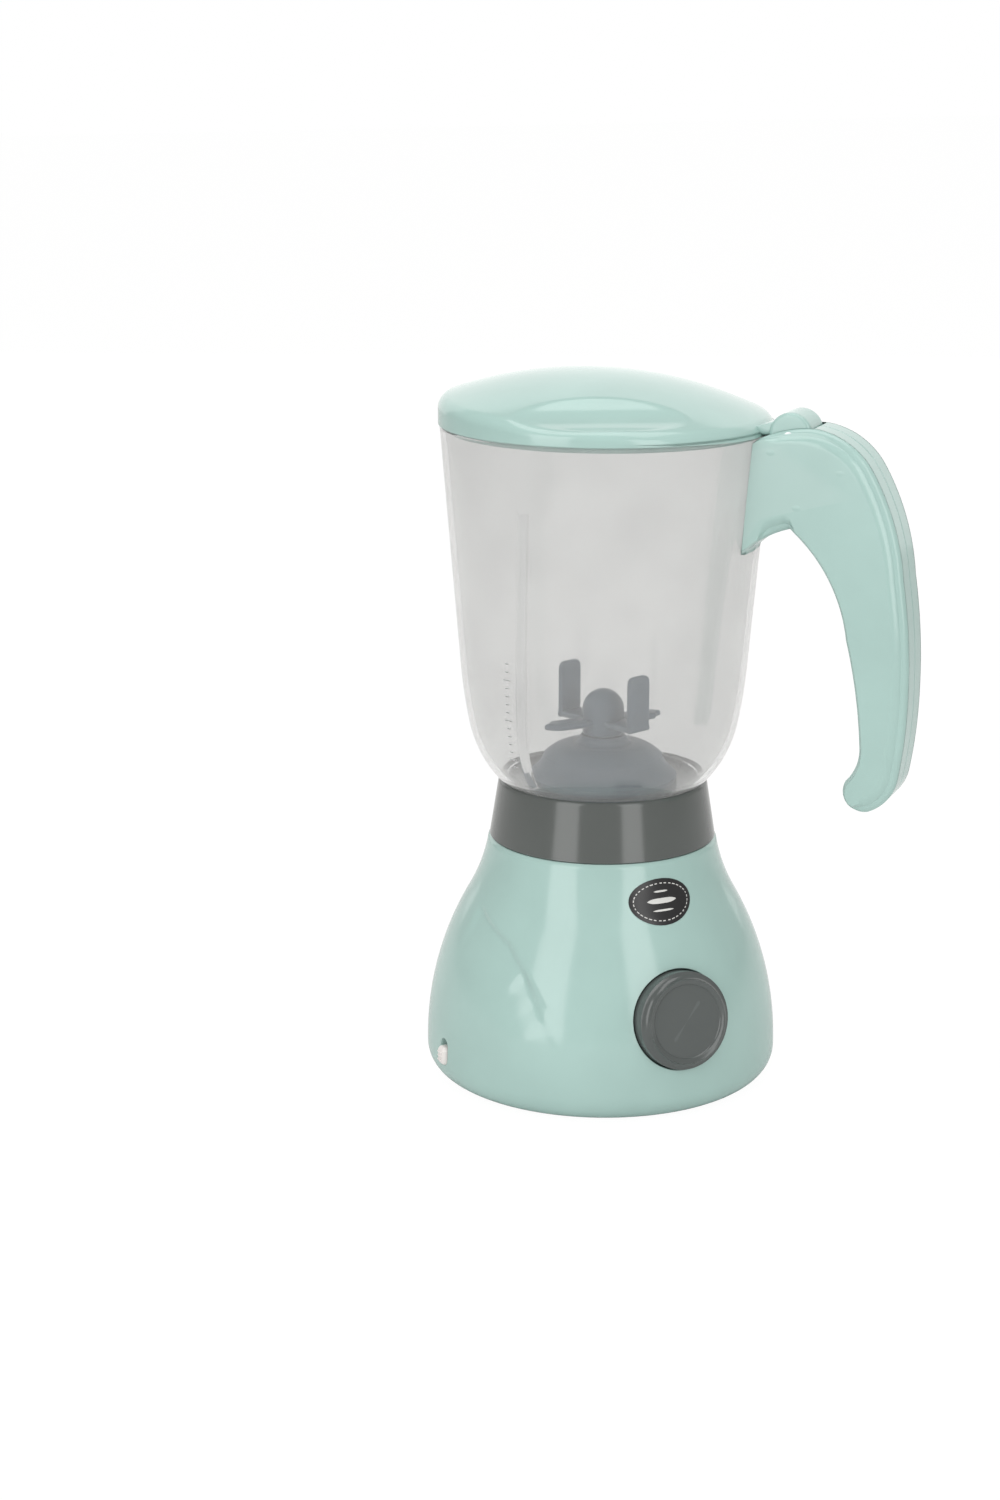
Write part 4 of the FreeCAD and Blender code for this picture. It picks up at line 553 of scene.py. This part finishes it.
class TOYBLENDER_OT_badge(bpy.types.Operator):
    """Oval front badge with a dashed border and a bare generic middle"""

    bl_idname = "toyblender.badge"
    bl_label = "Front badge"

    def execute(self, context):
        line = arc_path(HOUSING_LINE, 0.6)
        wide, high, level = size("badge_width") / 2, size("badge_height") / 2, size("badge_level")

        def press(verts, lift):
            """Lays flat points in x and z on the housing, at a height above it."""
            for vert in verts:
                x, z = vert.co.x / MM, vert.co.y / MM
                away = math.hypot(x / wide, z / high)
                rise = lift + 0.32 * max(0.0, 1 - away ** 6)
                reach = radius_on(line, level + z) + rise
                vert.co = Vector((x, -math.sqrt(reach * reach - x * x), level + z)) * MM

        film = bmesh.new()
        lathe(film, [(0.0, 0.0)] + [(r / 12, 0.0) for r in range(1, 13)], 96)
        bmesh.ops.scale(film, vec=(wide, high, 1), verts=film.verts)
        outer = [e for e in film.edges if e.is_boundary]
        press(film.verts, 0.10)
        skirt = bmesh.ops.extrude_edge_only(film, edges=outer)["geom"]
        for vert in (g for g in skirt if isinstance(g, bmesh.types.BMVert)):
            vert.co.y += 0.5 * MM
        dark = finish("badge_film_finish", looks().badge_black, 0.30, 1500.0, 0.01, 0.0)
        piece("badge", film, "base", dark, ["front_badge"], crease=50)

        marks = bmesh.new()
        per, count = 6, looks().badge_dashes
        rings = []
        for share in (0.855, 0.882):
            ring = bmesh.ops.create_circle(marks, cap_ends=False, radius=1.0, segments=per * count)["verts"]
            bmesh.ops.scale(marks, vec=((wide - 10 * (1 - share)) * MM, (high - 10 * (1 - share)) * MM, 1),
                            verts=ring)
            rings += list({e for v in ring for e in v.link_edges})
        bmesh.ops.bridge_loops(marks, edges=rings)
        gaps = []
        for face in marks.faces:
            centre = face.calc_center_median()
            turn = math.atan2(centre.y / high, centre.x / wide) / math.tau * count % 1.0
            if turn > 0.58:
                gaps.append(face)
        bmesh.ops.delete(marks, geom=gaps, context="FACES")
        for half, bar, at in ((2.4, 0.28, 3.0), (5.0, 0.75, 0.3), (3.6, 0.28, -2.4)):
            made = bmesh.ops.create_grid(marks, x_segments=24, y_segments=4, size=1.0)["verts"]
            for vert in made:
                vert.co.y *= 1.0 - abs(vert.co.x) ** 4
                vert.co = Vector((vert.co.x * half, at + vert.co.y * bar, 0)) * MM
        bmesh.ops.remove_doubles(marks, verts=marks.verts, dist=1e-8)
        press(marks.verts, 0.13)
        pale = finish("badge_print_finish", looks().badge_print, 0.5, 1500.0, 0.01, 0.0)
        piece("badge_border", marks, "base", pale, crease=50)
        return {"FINISHED"}


class TOYBLENDER_OT_jug(bpy.types.Operator):
    """Clear jug with its rib and graduation ticks"""

    bl_idname = "toyblender.jug"
    bl_label = "Jug"

    def execute(self, context):
        wall = size("wall")
        outer = arc_path(JUG_LINE, 1.0)
        inner = []
        for before, here, after in zip(outer, outer[1:], outer[2:]):
            dr, dz = after[0] - before[0], after[1] - before[1]
            reach = math.hypot(dr, dz)
            inner.append((here[0] - dz / reach * wall, here[1] + dr / reach * wall))
        inner = [p for p in inner if p[1] > 95.2]
        rim = [(50.2, 203.9), (49.9, 204.2), (48.7, 204.2), (48.4, 203.9)]
        foot = [(6.2, 93.8), (6.2, 92.0), (27.9, 92.0), (27.9, 84.4), (28.3, 84.0), (29.3, 84.0),
                (29.7, 84.4), (29.7, 94.4), (30.1, 94.8)]
        line = foot + outer[:-1] + rim + inner[::-1] + [(29.6, 94.1), (28.6, 93.8), (6.2, 93.8)]
        bm = bmesh.new()
        lathe(bm, line, 320)
        piece("jug", bm, "jug", clear(), ["jug_vessel"])
        self.rib(outer)
        self.ticks(outer)
        return {"FINISHED"}

    def rib(self, outer):
        """A long clear rib on the jug's wall, round at its lower end."""
        wide, tall, top, low = size("rib_width") / 2, size("rib_height"), 184.0, 97.5
        start, lean = PHOTO_TURN - 36.5, 7.0
        bm = bmesh.new()
        made = bmesh.ops.create_grid(bm, x_segments=12, y_segments=110, size=1.0)["verts"]
        for vert in made:
            u, v = vert.co.x, (vert.co.y + 1) / 2
            z = low + (top - low) * v
            turn = math.radians(start + lean * v)
            ends = min(1.0, math.sqrt(max(0.0, 1 - max(0.0, 1 - (z - low) / wide) ** 2)) + 0.02)
            across = u * wide * ends
            rise = tall * max(0.0, 1 - u ** 4) ** 0.5 * min(1.0, ends * 1.5)
            reach = radius_on(outer, z) - 0.15 + rise
            turn += across / reach
            vert.co = Vector((math.sin(turn) * reach, -math.cos(turn) * reach, z)) * MM
        back = bmesh.ops.extrude_edge_only(bm, edges=[e for e in bm.edges if e.is_boundary])["geom"]
        for vert in (g for g in back if isinstance(g, bmesh.types.BMVert)):
            vert.co.x *= 0.985
            vert.co.y *= 0.985
        rib = finish("jug_rib_finish", (0.9, 0.9, 0.9), 0.03, 60.0, 0.0, 0.0, transmission=0.95, ior=1.2)
        piece("jug_rib", bm, "jug", rib, crease=60)

    def ticks(self, outer):
        """Graduation ticks beside the rib, every fifth one longer."""
        lowest, start, lean = 104.5, PHOTO_TURN - 42.5, 0.07
        bm = bmesh.new()
        for index in range(looks().tick_count):
            z = lowest + index * size("tick_step")
            long = 2.6 if index % 5 == 1 else 1.2
            reach = radius_on(outer, z)
            turn = math.radians(start + lean * (z - lowest))
            face = Vector((math.sin(turn), -math.cos(turn), 0.0))
            place = axis_frame(face * reach + Vector((0, 0, z)), face)
            rounded_block(bm, (-long / 2, -0.16, -0.4), (long / 2, 0.16, 0.10), 0.08, 2, place)
        tone = finish("tick_finish", (0.42, 0.42, 0.43), 0.3, 500.0, 0.02, 0.0)
        piece("jug_ticks", bm, "jug", tone, crease=60)


class TOYBLENDER_OT_handle(bpy.types.Operator):
    """Two handle shells with rounded edges, a sloped band and a side panel"""

    bl_idname = "toyblender.handle"
    bl_label = "Handle shells"

    def execute(self, context):
        outline = [(JUG_RIM[0] + u, JUG_RIM[1] + v) for u, v in arc_path(HANDLE_LINE, 0.9)][:-1]
        self.ahead = self.directions(outline)
        for name, side, node in (("handle_front", -1, "handle_front_shell"),
                                 ("handle_rear", 1, "handle_rear_shell")):
            bm = bmesh.new()
            self.shell(bm, side, outline)
            self.clear_jug(bm)
            bmesh.ops.rotate(bm, cent=(0, 0, 0), matrix=Matrix.Rotation(HANDLE_TURN, 3, "Z"), verts=bm.verts)
            piece(name, bm, "jug", mint(), [node], crease=32)
        return {"FINISHED"}

    def directions(self, outline):
        """For each point of the outline the way inwards, fading to nothing beside the jug."""
        ways = []
        count = len(outline)
        for index, (r, z) in enumerate(outline):
            ahead, behind = outline[(index + 2) % count], outline[index - 2]
            dr, dz = ahead[0] - behind[0], ahead[1] - behind[1]
            reach = math.hypot(dr, dz)
            share = max(0.0, min(1.0, (r - JUG_RIM[0] - 0.2) / 5.0))
            share *= share * (3 - 2 * share)
            share = max(0.12, share * (1.0 - 0.72 * max(0.0, min(1.0, 1.6 * dz / reach))))
            ways.append((dz / reach * share, -dr / reach * share))
        return ways

    def ring(self, outline, side, level, inset):
        """The outline moved inwards and set at a distance from the middle."""
        return [Vector((r + way[0] * inset, side * level, z + way[1] * inset)) * MM
                for (r, z), way in zip(outline, self.ahead)]

    def shell(self, bm, side, outline):
        """One shell: the seam with the hinge's notch, the sloped band, the panel and its marks."""
        half, full, edge, band = (size(n) for n in ("handle_half", "handle_full", "handle_round",
                                                    "handle_band"))
        cheek, notch = 7.2, 7.3
        notched = []
        for r, z in outline:
            gap = abs(r - HINGE[0])
            deep = HINGE[1] - math.sqrt(max(0.0, notch ** 2 - gap ** 2))
            notched.append((r, deep) if gap < notch and z > HINGE[1] - 12 and deep < z else (r, z))
        seam = [self.ring(notched, side, 0.05, 0.35), self.ring(notched, side, 0.35, 0.0),
                self.ring(notched, side, cheek, 0.0)]
        last = stack(bm, seam)
        bmesh.ops.contextual_create(bm, geom=last)
        steps = [(cheek, 0.0), (half - edge, 0.0)]
        for i in range(1, 6):
            turn = math.radians(15 * i)
            steps.append((half - edge + edge * math.sin(turn), edge * (1 - math.cos(turn))))
        steps += [(half + 0.02, edge * 1.05), (half + 0.45, band - 0.9), (full - 0.45, band - 0.1),
                  (full - 0.12, band + 0.5), (full, band + 1.1), (full, band + 1.6)]
        last = stack(bm, [self.ring(outline, side, level, inset) for level, inset in steps])
        if side < 0:
            bmesh.ops.contextual_create(bm, geom=last)
            for r, z in PEG_MARKS:
                place = axis_frame((r, -full, z), (0, -1, 0)) @ Matrix.Scale(1.5, 4, (1, 0, 0))
                lathe(bm, [(1.0, -0.2), (0.95, 0.0), (0.7, 0.02), (0.35, 0.04), (0.0, 0.045)], 24, place)
            return
        wells = []
        for r, z in SCREW_PLACES:
            place = axis_frame((r, full, z), (0, 1, 0))
            made = bmesh.ops.create_circle(bm, cap_ends=False, radius=2.35 * MM, segments=40, matrix=place)
            wells.append(list({e for v in made["verts"] for e in v.link_edges}))
        bmesh.ops.triangle_fill(bm, use_beauty=True, use_dissolve=False,
                                edges=last + [e for well in wells for e in well], normal=(0, 1, 0))
        for well in wells:
            made = bmesh.ops.extrude_edge_only(bm, edges=well)["geom"]
            bmesh.ops.translate(bm, vec=(0, -3.2 * MM, 0),
                                verts=[g for g in made if isinstance(g, bmesh.types.BMVert)])

    def clear_jug(self, bm):
        """Keeps the shells outside the jug's wall."""
        outer = arc_path(JUG_LINE, 1.0)
        for vert in bm.verts:
            x, y, z = vert.co / MM
            reach = radius_on(outer, z) + 0.12
            least = math.sqrt(max(0.0, reach * reach - y * y))
            if x < least:
                vert.co.x = least * MM


class TOYBLENDER_OT_lid(bpy.types.Operator):
    """Domed lid with two finger scoops, a skirt and its hinge knuckle"""

    bl_idname = "toyblender.lid"
    bl_label = "Lid"

    def top(self, x, y):
        """Height of the lid's upper side, the dome or a scoop, in its own frame with the handle on +X."""
        bow, shift = size("lid_bow"), size("lid_shift")
        away = (x + shift) ** 2 + y * y
        high = size("lid_top") - bow + math.sqrt(bow * bow - away)
        radius, reach = size("scoop_radius"), size("scoop_reach")
        for turn in (64.0, -64.0):
            along = x * math.cos(math.radians(turn)) + y * math.sin(math.radians(turn)) - reach
            if abs(along) < radius - 1:
                floor = size("scoop_floor") + radius - math.sqrt(radius * radius - along * along)
                high = blend_low(high, floor, 0.7)
        return high

    def execute(self, context):
        radius, edge = size("lid_radius"), size("lid_round")
        # Heights near hang are measured from the dome, and the others are true ones
        hang = 1000.0
        line = [(r * 0.8, hang) for r in range(int((radius - edge) / 0.8))]
        for i in range(9):
            turn = math.radians(11.25 * i)
            line.append((radius - edge + edge * math.sin(turn), hang - edge * (1 - math.cos(turn))))
        line += [(radius, 205.4), (radius, 204.75), (radius - 0.4, 204.4), (48.0, 204.4), (47.6, 204.2),
                 (47.6, 203.0), (47.2, 202.6), (46.4, 202.6), (46.1, 203.0), (46.1, hang - 4.0)]
        line += [(r * 2.0, hang - 1.8) for r in range(22, -1, -1)]
        bm = bmesh.new()
        lathe(bm, line, 288)
        for vert in bm.verts:
            if vert.co.z > hang * MM / 2:
                x, y = vert.co.x / MM, vert.co.y / MM
                vert.co.z = vert.co.z - hang * MM + self.top(x, y) * MM
        across = axis_frame((HINGE[0], 0, HINGE[1]), (0, 1, 0))
        lathe(bm, arc_path([(0, -6.75), (5.6, -6.75, -1.0), (6.55, -5.8), (6.55, 5.8, -1.0), (5.6, 6.75),
                            (0, 6.75)], 0.5), 72, across)
        before, root, bend = set(bm.verts), 46.5, 58.0
        rounded_block(bm, (root, -6.0, 204.6), (HINGE[0] + 1.0, 6.0, 210.2), 0.9, 4)
        for vert in set(bm.verts) - before:
            reach = vert.co.x / MM
            if vert.co.z > 0.2075 and reach < bend:
                vert.co.z -= (vert.co.z - 0.2062) * ((bend - reach) / (bend - root)) ** 1.3
        bmesh.ops.rotate(bm, cent=(0, 0, 0), matrix=Matrix.Rotation(HANDLE_TURN, 3, "Z"), verts=bm.verts)
        piece("lid", bm, "lid", mint(), ["lid_shell"], crease=34)
        return {"FINISHED"}


class TOYBLENDER_OT_blades(bpy.types.Operator):
    """Blue-grey blades with their hub"""

    bl_idname = "toyblender.blades"
    bl_label = "Blades"

    def execute(self, context):
        bm = bmesh.new()
        lathe(bm, arc_path([(1.9, 108.1), (6.0, 108.1), (6.4, 108.5), (6.4, 115.9, -6.4), (0.02, 122.25)],
                           0.5), 72)
        for index in range(2):
            turn = math.radians(17.0 - 90.0 + 180.0 * index)
            self.upright(bm, Matrix.Rotation(turn, 4, "Z"))
            self.wing(bm, Matrix.Rotation(turn + math.radians(75.0), 4, "Z"))
        piece("blades", bm, "blades", blue_grey(), ["blade_rotor"])
        return {"FINISHED"}

    def plate(self, bm, outline, lift, place):
        """A thin plate with rounded edges, from an outline and a direction to thicken in."""
        edges = stack(bm, [[Vector(p) * MM for p in outline],
                           [(Vector(p) + Vector(lift)) * MM for p in outline]])
        verts = {v for e in edges for v in e.verts}
        verts |= {e.other_vert(v) for v in list(verts) for e in v.link_edges}
        start = [e for v in verts for e in v.link_edges if e.is_boundary and e not in edges]
        caps = bmesh.ops.contextual_create(bm, geom=edges)["faces"]
        caps += bmesh.ops.contextual_create(bm, geom=list(set(start)))["faces"]
        rims = list({e for f in caps for e in f.edges})
        bmesh.ops.transform(bm, matrix=place, verts=list(verts))
        bmesh.ops.bevel(bm, geom=rims, offset=0.55 * MM, segments=3, profile=0.5, affect="EDGES",
                        material=-1, clamp_overlap=True)

    def upright(self, bm, place):
        """An upright blade on the end of its arm."""
        half, low, high = 4.2, 111.25, 128.75
        corner = arc_path([(-half, low), (-half, high - 2.2, 2.2), (-half + 2.2, high),
                           (half - 2.2, high, 2.2), (half, high - 2.2), (half, low)], 0.8)
        self.plate(bm, [(14.05, y, z) for y, z in corner], (1.9, 0, 0), place)
        arm = [(2.0, -half), (15.9, -half), (15.9, half), (2.0, half)]
        self.plate(bm, [(x, y, low + 0.05) for x, y in arm], (0, 0, 1.9), place)

    def wing(self, bm, place):
        """A flat blade with a slanted tip."""
        half, reach, low = 3.4, 20.4, 111.3
        tip = arc_path([(1.0, -half), (1.0, half), (reach - 5, half, 7), (reach, -0.4), (reach - 2.2, -1.4),
                        (reach - 3.5, -half), (1.0, -half)], 0.8)[:-1]
        self.plate(bm, [(x, y, low) for x, y in tip], (0, 0, 1.85), place)


class TOYBLENDER_OT_finishes(bpy.types.Operator):
    """Procedural finishes on the CAD pieces that stay as they are"""

    bl_idname = "toyblender.finishes"
    bl_label = "Finishes of the inner pieces"

    def execute(self, context):
        inner_mint = finish("inner_plastic_finish", tuple(c * 0.8 for c in looks().mint), 0.38, 700.0, 0.06)
        steel = finish("steel_finish", (0.56, 0.57, 0.58), 0.26, 2200.0, 0.05, 0.2, metallic=1.0)
        bronze = finish("bronze_finish", (0.46, 0.29, 0.13), 0.34, 1800.0, 0.05, 0.2, metallic=1.0)
        frame_grey = finish("frame_plastic_finish", (0.30, 0.31, 0.31), 0.42, 800.0, 0.06, 0.12)
        gear_white = finish("gear_plastic_finish", (0.68, 0.67, 0.63), 0.40, 900.0, 0.05, 0.10)
        dark = finish("dark_plastic_finish", (0.03, 0.032, 0.033), 0.40, 900.0, 0.06, 0.2)
        wrap = finish("cell_wrap_finish", (0.04, 0.10, 0.22), 0.28, 600.0, 0.03, 0.3)
        board = finish("board_finish", (0.02, 0.13, 0.06), 0.45, 1500.0, 0.06, 0.1)
        groups = (
            (inner_mint, ("base_plate", "battery_door")),
            (steel, ("base_screws", "battery_door_screws", "battery_springs", "motor_can", "motor_shaft",
                     "idler_pin", "drive_shaft", "blade_spindle", "collar_screws", "board_screws",
                     "gearbox_screws", "handle_screws", "button_spring", "lid_hinge_pin")),
            (bronze, ("lower_bush", "upper_bush", "spindle_bush", "battery_contacts", "motor_pinion")),
            (frame_grey, ("gearbox_lower_plate", "gearbox_upper_plate", "ring_nut")),
            (gear_white, ("idler_gear", "drive_gear", "drive_coupling", "jug_coupling")),
            (dark, ("push_switch", "slide_switch")),
            (wrap, ("battery_cell_front", "battery_cell_rear")),
            (board, ("switch_board",)),
            (blue_grey(), ("blade_seat",)),
        )
        for tone, names in groups:
            for name in names:
                slots = nodes[name].data.materials
                slots.clear()
                slots.append(tone)
        return {"FINISHED"}


class TOYBLENDER_OT_stage(bpy.types.Operator):
    """White floor, soft lights and the camera"""

    bl_idname = "toyblender.stage"
    bl_label = "Studio"

    def execute(self, context):
        self.floor()
        self.world()
        view = math.radians(PHOTO_TURN)
        for name, turn, away, wide, tall, lift, power in (
                ("soft_left", -37.0, 1.25, 0.60, 1.3, 0.42, 6.8),
                ("soft_right", 31.0, 1.25, 0.50, 1.3, 0.42, 5.6),
                ("soft_top", -6.0, 0.10, 1.2, 0.9, 1.30, 8.0),
                ("soft_back", 180.0, 1.6, 3.4, 1.5, 0.66, 11.0)):
            around = view + math.radians(turn)
            self.lamp(name, Vector((math.sin(around) * away, -math.cos(around) * away, lift)), wide, tall,
                      power)
        data = bpy.data.cameras.new("camera")
        data.lens, data.sensor_width, data.sensor_fit = CAMERA_LENS, 36.0, "AUTO"
        data.clip_start, data.clip_end = 0.05, 30.0
        camera = bpy.data.objects.new("camera", data)
        camera.location, camera.rotation_euler = CAMERA_SPOT, CAMERA_TURN
        context.scene.collection.objects.link(camera)
        context.scene.camera = camera
        context.scene.view_settings.view_transform = "Standard"
        return {"FINISHED"}

    def lamp(self, name, spot, wide, tall, power):
        """A soft light aimed at the middle of the toy."""
        data = bpy.data.lights.new(name, "AREA")
        data.shape, data.size, data.size_y, data.energy = "RECTANGLE", wide, tall, power
        obj = bpy.data.objects.new(name, data)
        obj.location = spot
        aim = Vector((0, 0, 0.11)) - spot
        obj.rotation_euler = aim.to_track_quat("-Z", "Y").to_euler()
        obj.visible_camera = obj.visible_transmission = False
        bpy.context.scene.collection.objects.link(obj)

    def floor(self):
        """A wide floor that reads as white paper to the camera, with a faint contact shadow."""
        bm = bmesh.new()
        bmesh.ops.create_grid(bm, x_segments=8, y_segments=8, size=6.0)
        mesh = bpy.data.meshes.new("floor")
        bm.to_mesh(mesh)
        bm.free()
        obj = bpy.data.objects.new("floor", mesh)
        obj.location.z = -0.0002
        bpy.context.scene.collection.objects.link(obj)
        tone = bpy.data.materials.new("paper")
        tone.use_nodes = True
        tree = tone.node_tree
        shader = tree.nodes["Principled BSDF"]
        shader.inputs["Base Color"].default_value = (0.80, 0.80, 0.80, 1.0)
        shader.inputs["Roughness"].default_value = 0.9
        glow, share = (tree.nodes.new(kind) for kind in ("ShaderNodeEmission", "ShaderNodeMath"))
        glow.inputs["Strength"].default_value = 1.04
        share.operation = "MULTIPLY"
        share.inputs[1].default_value = 0.93
        tree.links.new(seen_ray(tree), share.inputs[0])
        mix_into(tree, share.outputs["Value"], shader.outputs["BSDF"], glow.outputs["Emission"],
                 "Material Output")
        mesh.materials.append(tone)

    def world(self):
        """White to the camera, soft grey as a light."""
        world = bpy.data.worlds.new("studio")
        world.use_nodes = True
        bpy.context.scene.world = world
        tree = world.node_tree
        room = tree.nodes["Background"]
        room.inputs["Color"].default_value = (1.0, 0.985, 0.96, 1.0)
        room.inputs["Strength"].default_value = 0.50
        white = tree.nodes.new("ShaderNodeBackground")
        white.inputs["Strength"].default_value = 1.0
        white.inputs["Color"].default_value = (1.0, 1.0, 1.0, 1.0)
        mix_into(tree, seen_ray(tree), room.outputs["Background"], white.outputs["Background"],
                 "World Output")


PIECES = (TOYBLENDER_OT_housing, TOYBLENDER_OT_collar, TOYBLENDER_OT_button, TOYBLENDER_OT_switch,
          TOYBLENDER_OT_badge, TOYBLENDER_OT_jug, TOYBLENDER_OT_handle, TOYBLENDER_OT_lid,
          TOYBLENDER_OT_blades, TOYBLENDER_OT_finishes, TOYBLENDER_OT_stage)


class TOYBLENDER_PT_panel(bpy.types.Panel):
    """Sidebar panel with the pieces in the order in which they are made"""

    bl_idname = "TOYBLENDER_PT_panel"
    bl_label = "Toy Blender"
    bl_space_type = "VIEW_3D"
    bl_region_type = "UI"
    bl_category = "Toy Blender"

    def draw(self, context):
        for kind in PIECES:
            self.layout.operator(kind.bl_idname)
        for name in ToyBlenderLooks.__annotations__:
            self.layout.prop(context.scene.toy_blender, name)


CLASSES = (ToyBlenderLooks, *PIECES, TOYBLENDER_PT_panel)


def register():
    """Adds the sizes, the operators and the panel."""
    for kind in CLASSES:
        bpy.utils.register_class(kind)
    bpy.types.Scene.toy_blender = PointerProperty(type=ToyBlenderLooks)


def unregister():
    """Takes out what register added."""
    del bpy.types.Scene.toy_blender
    for kind in reversed(CLASSES):
        bpy.utils.unregister_class(kind)


def main():
    """Makes every piece."""
    register()
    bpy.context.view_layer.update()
    for kind in PIECES:
        group, name = kind.bl_idname.split(".")
        getattr(getattr(bpy.ops, group), name)()


if __name__ == "__main__":
    main()
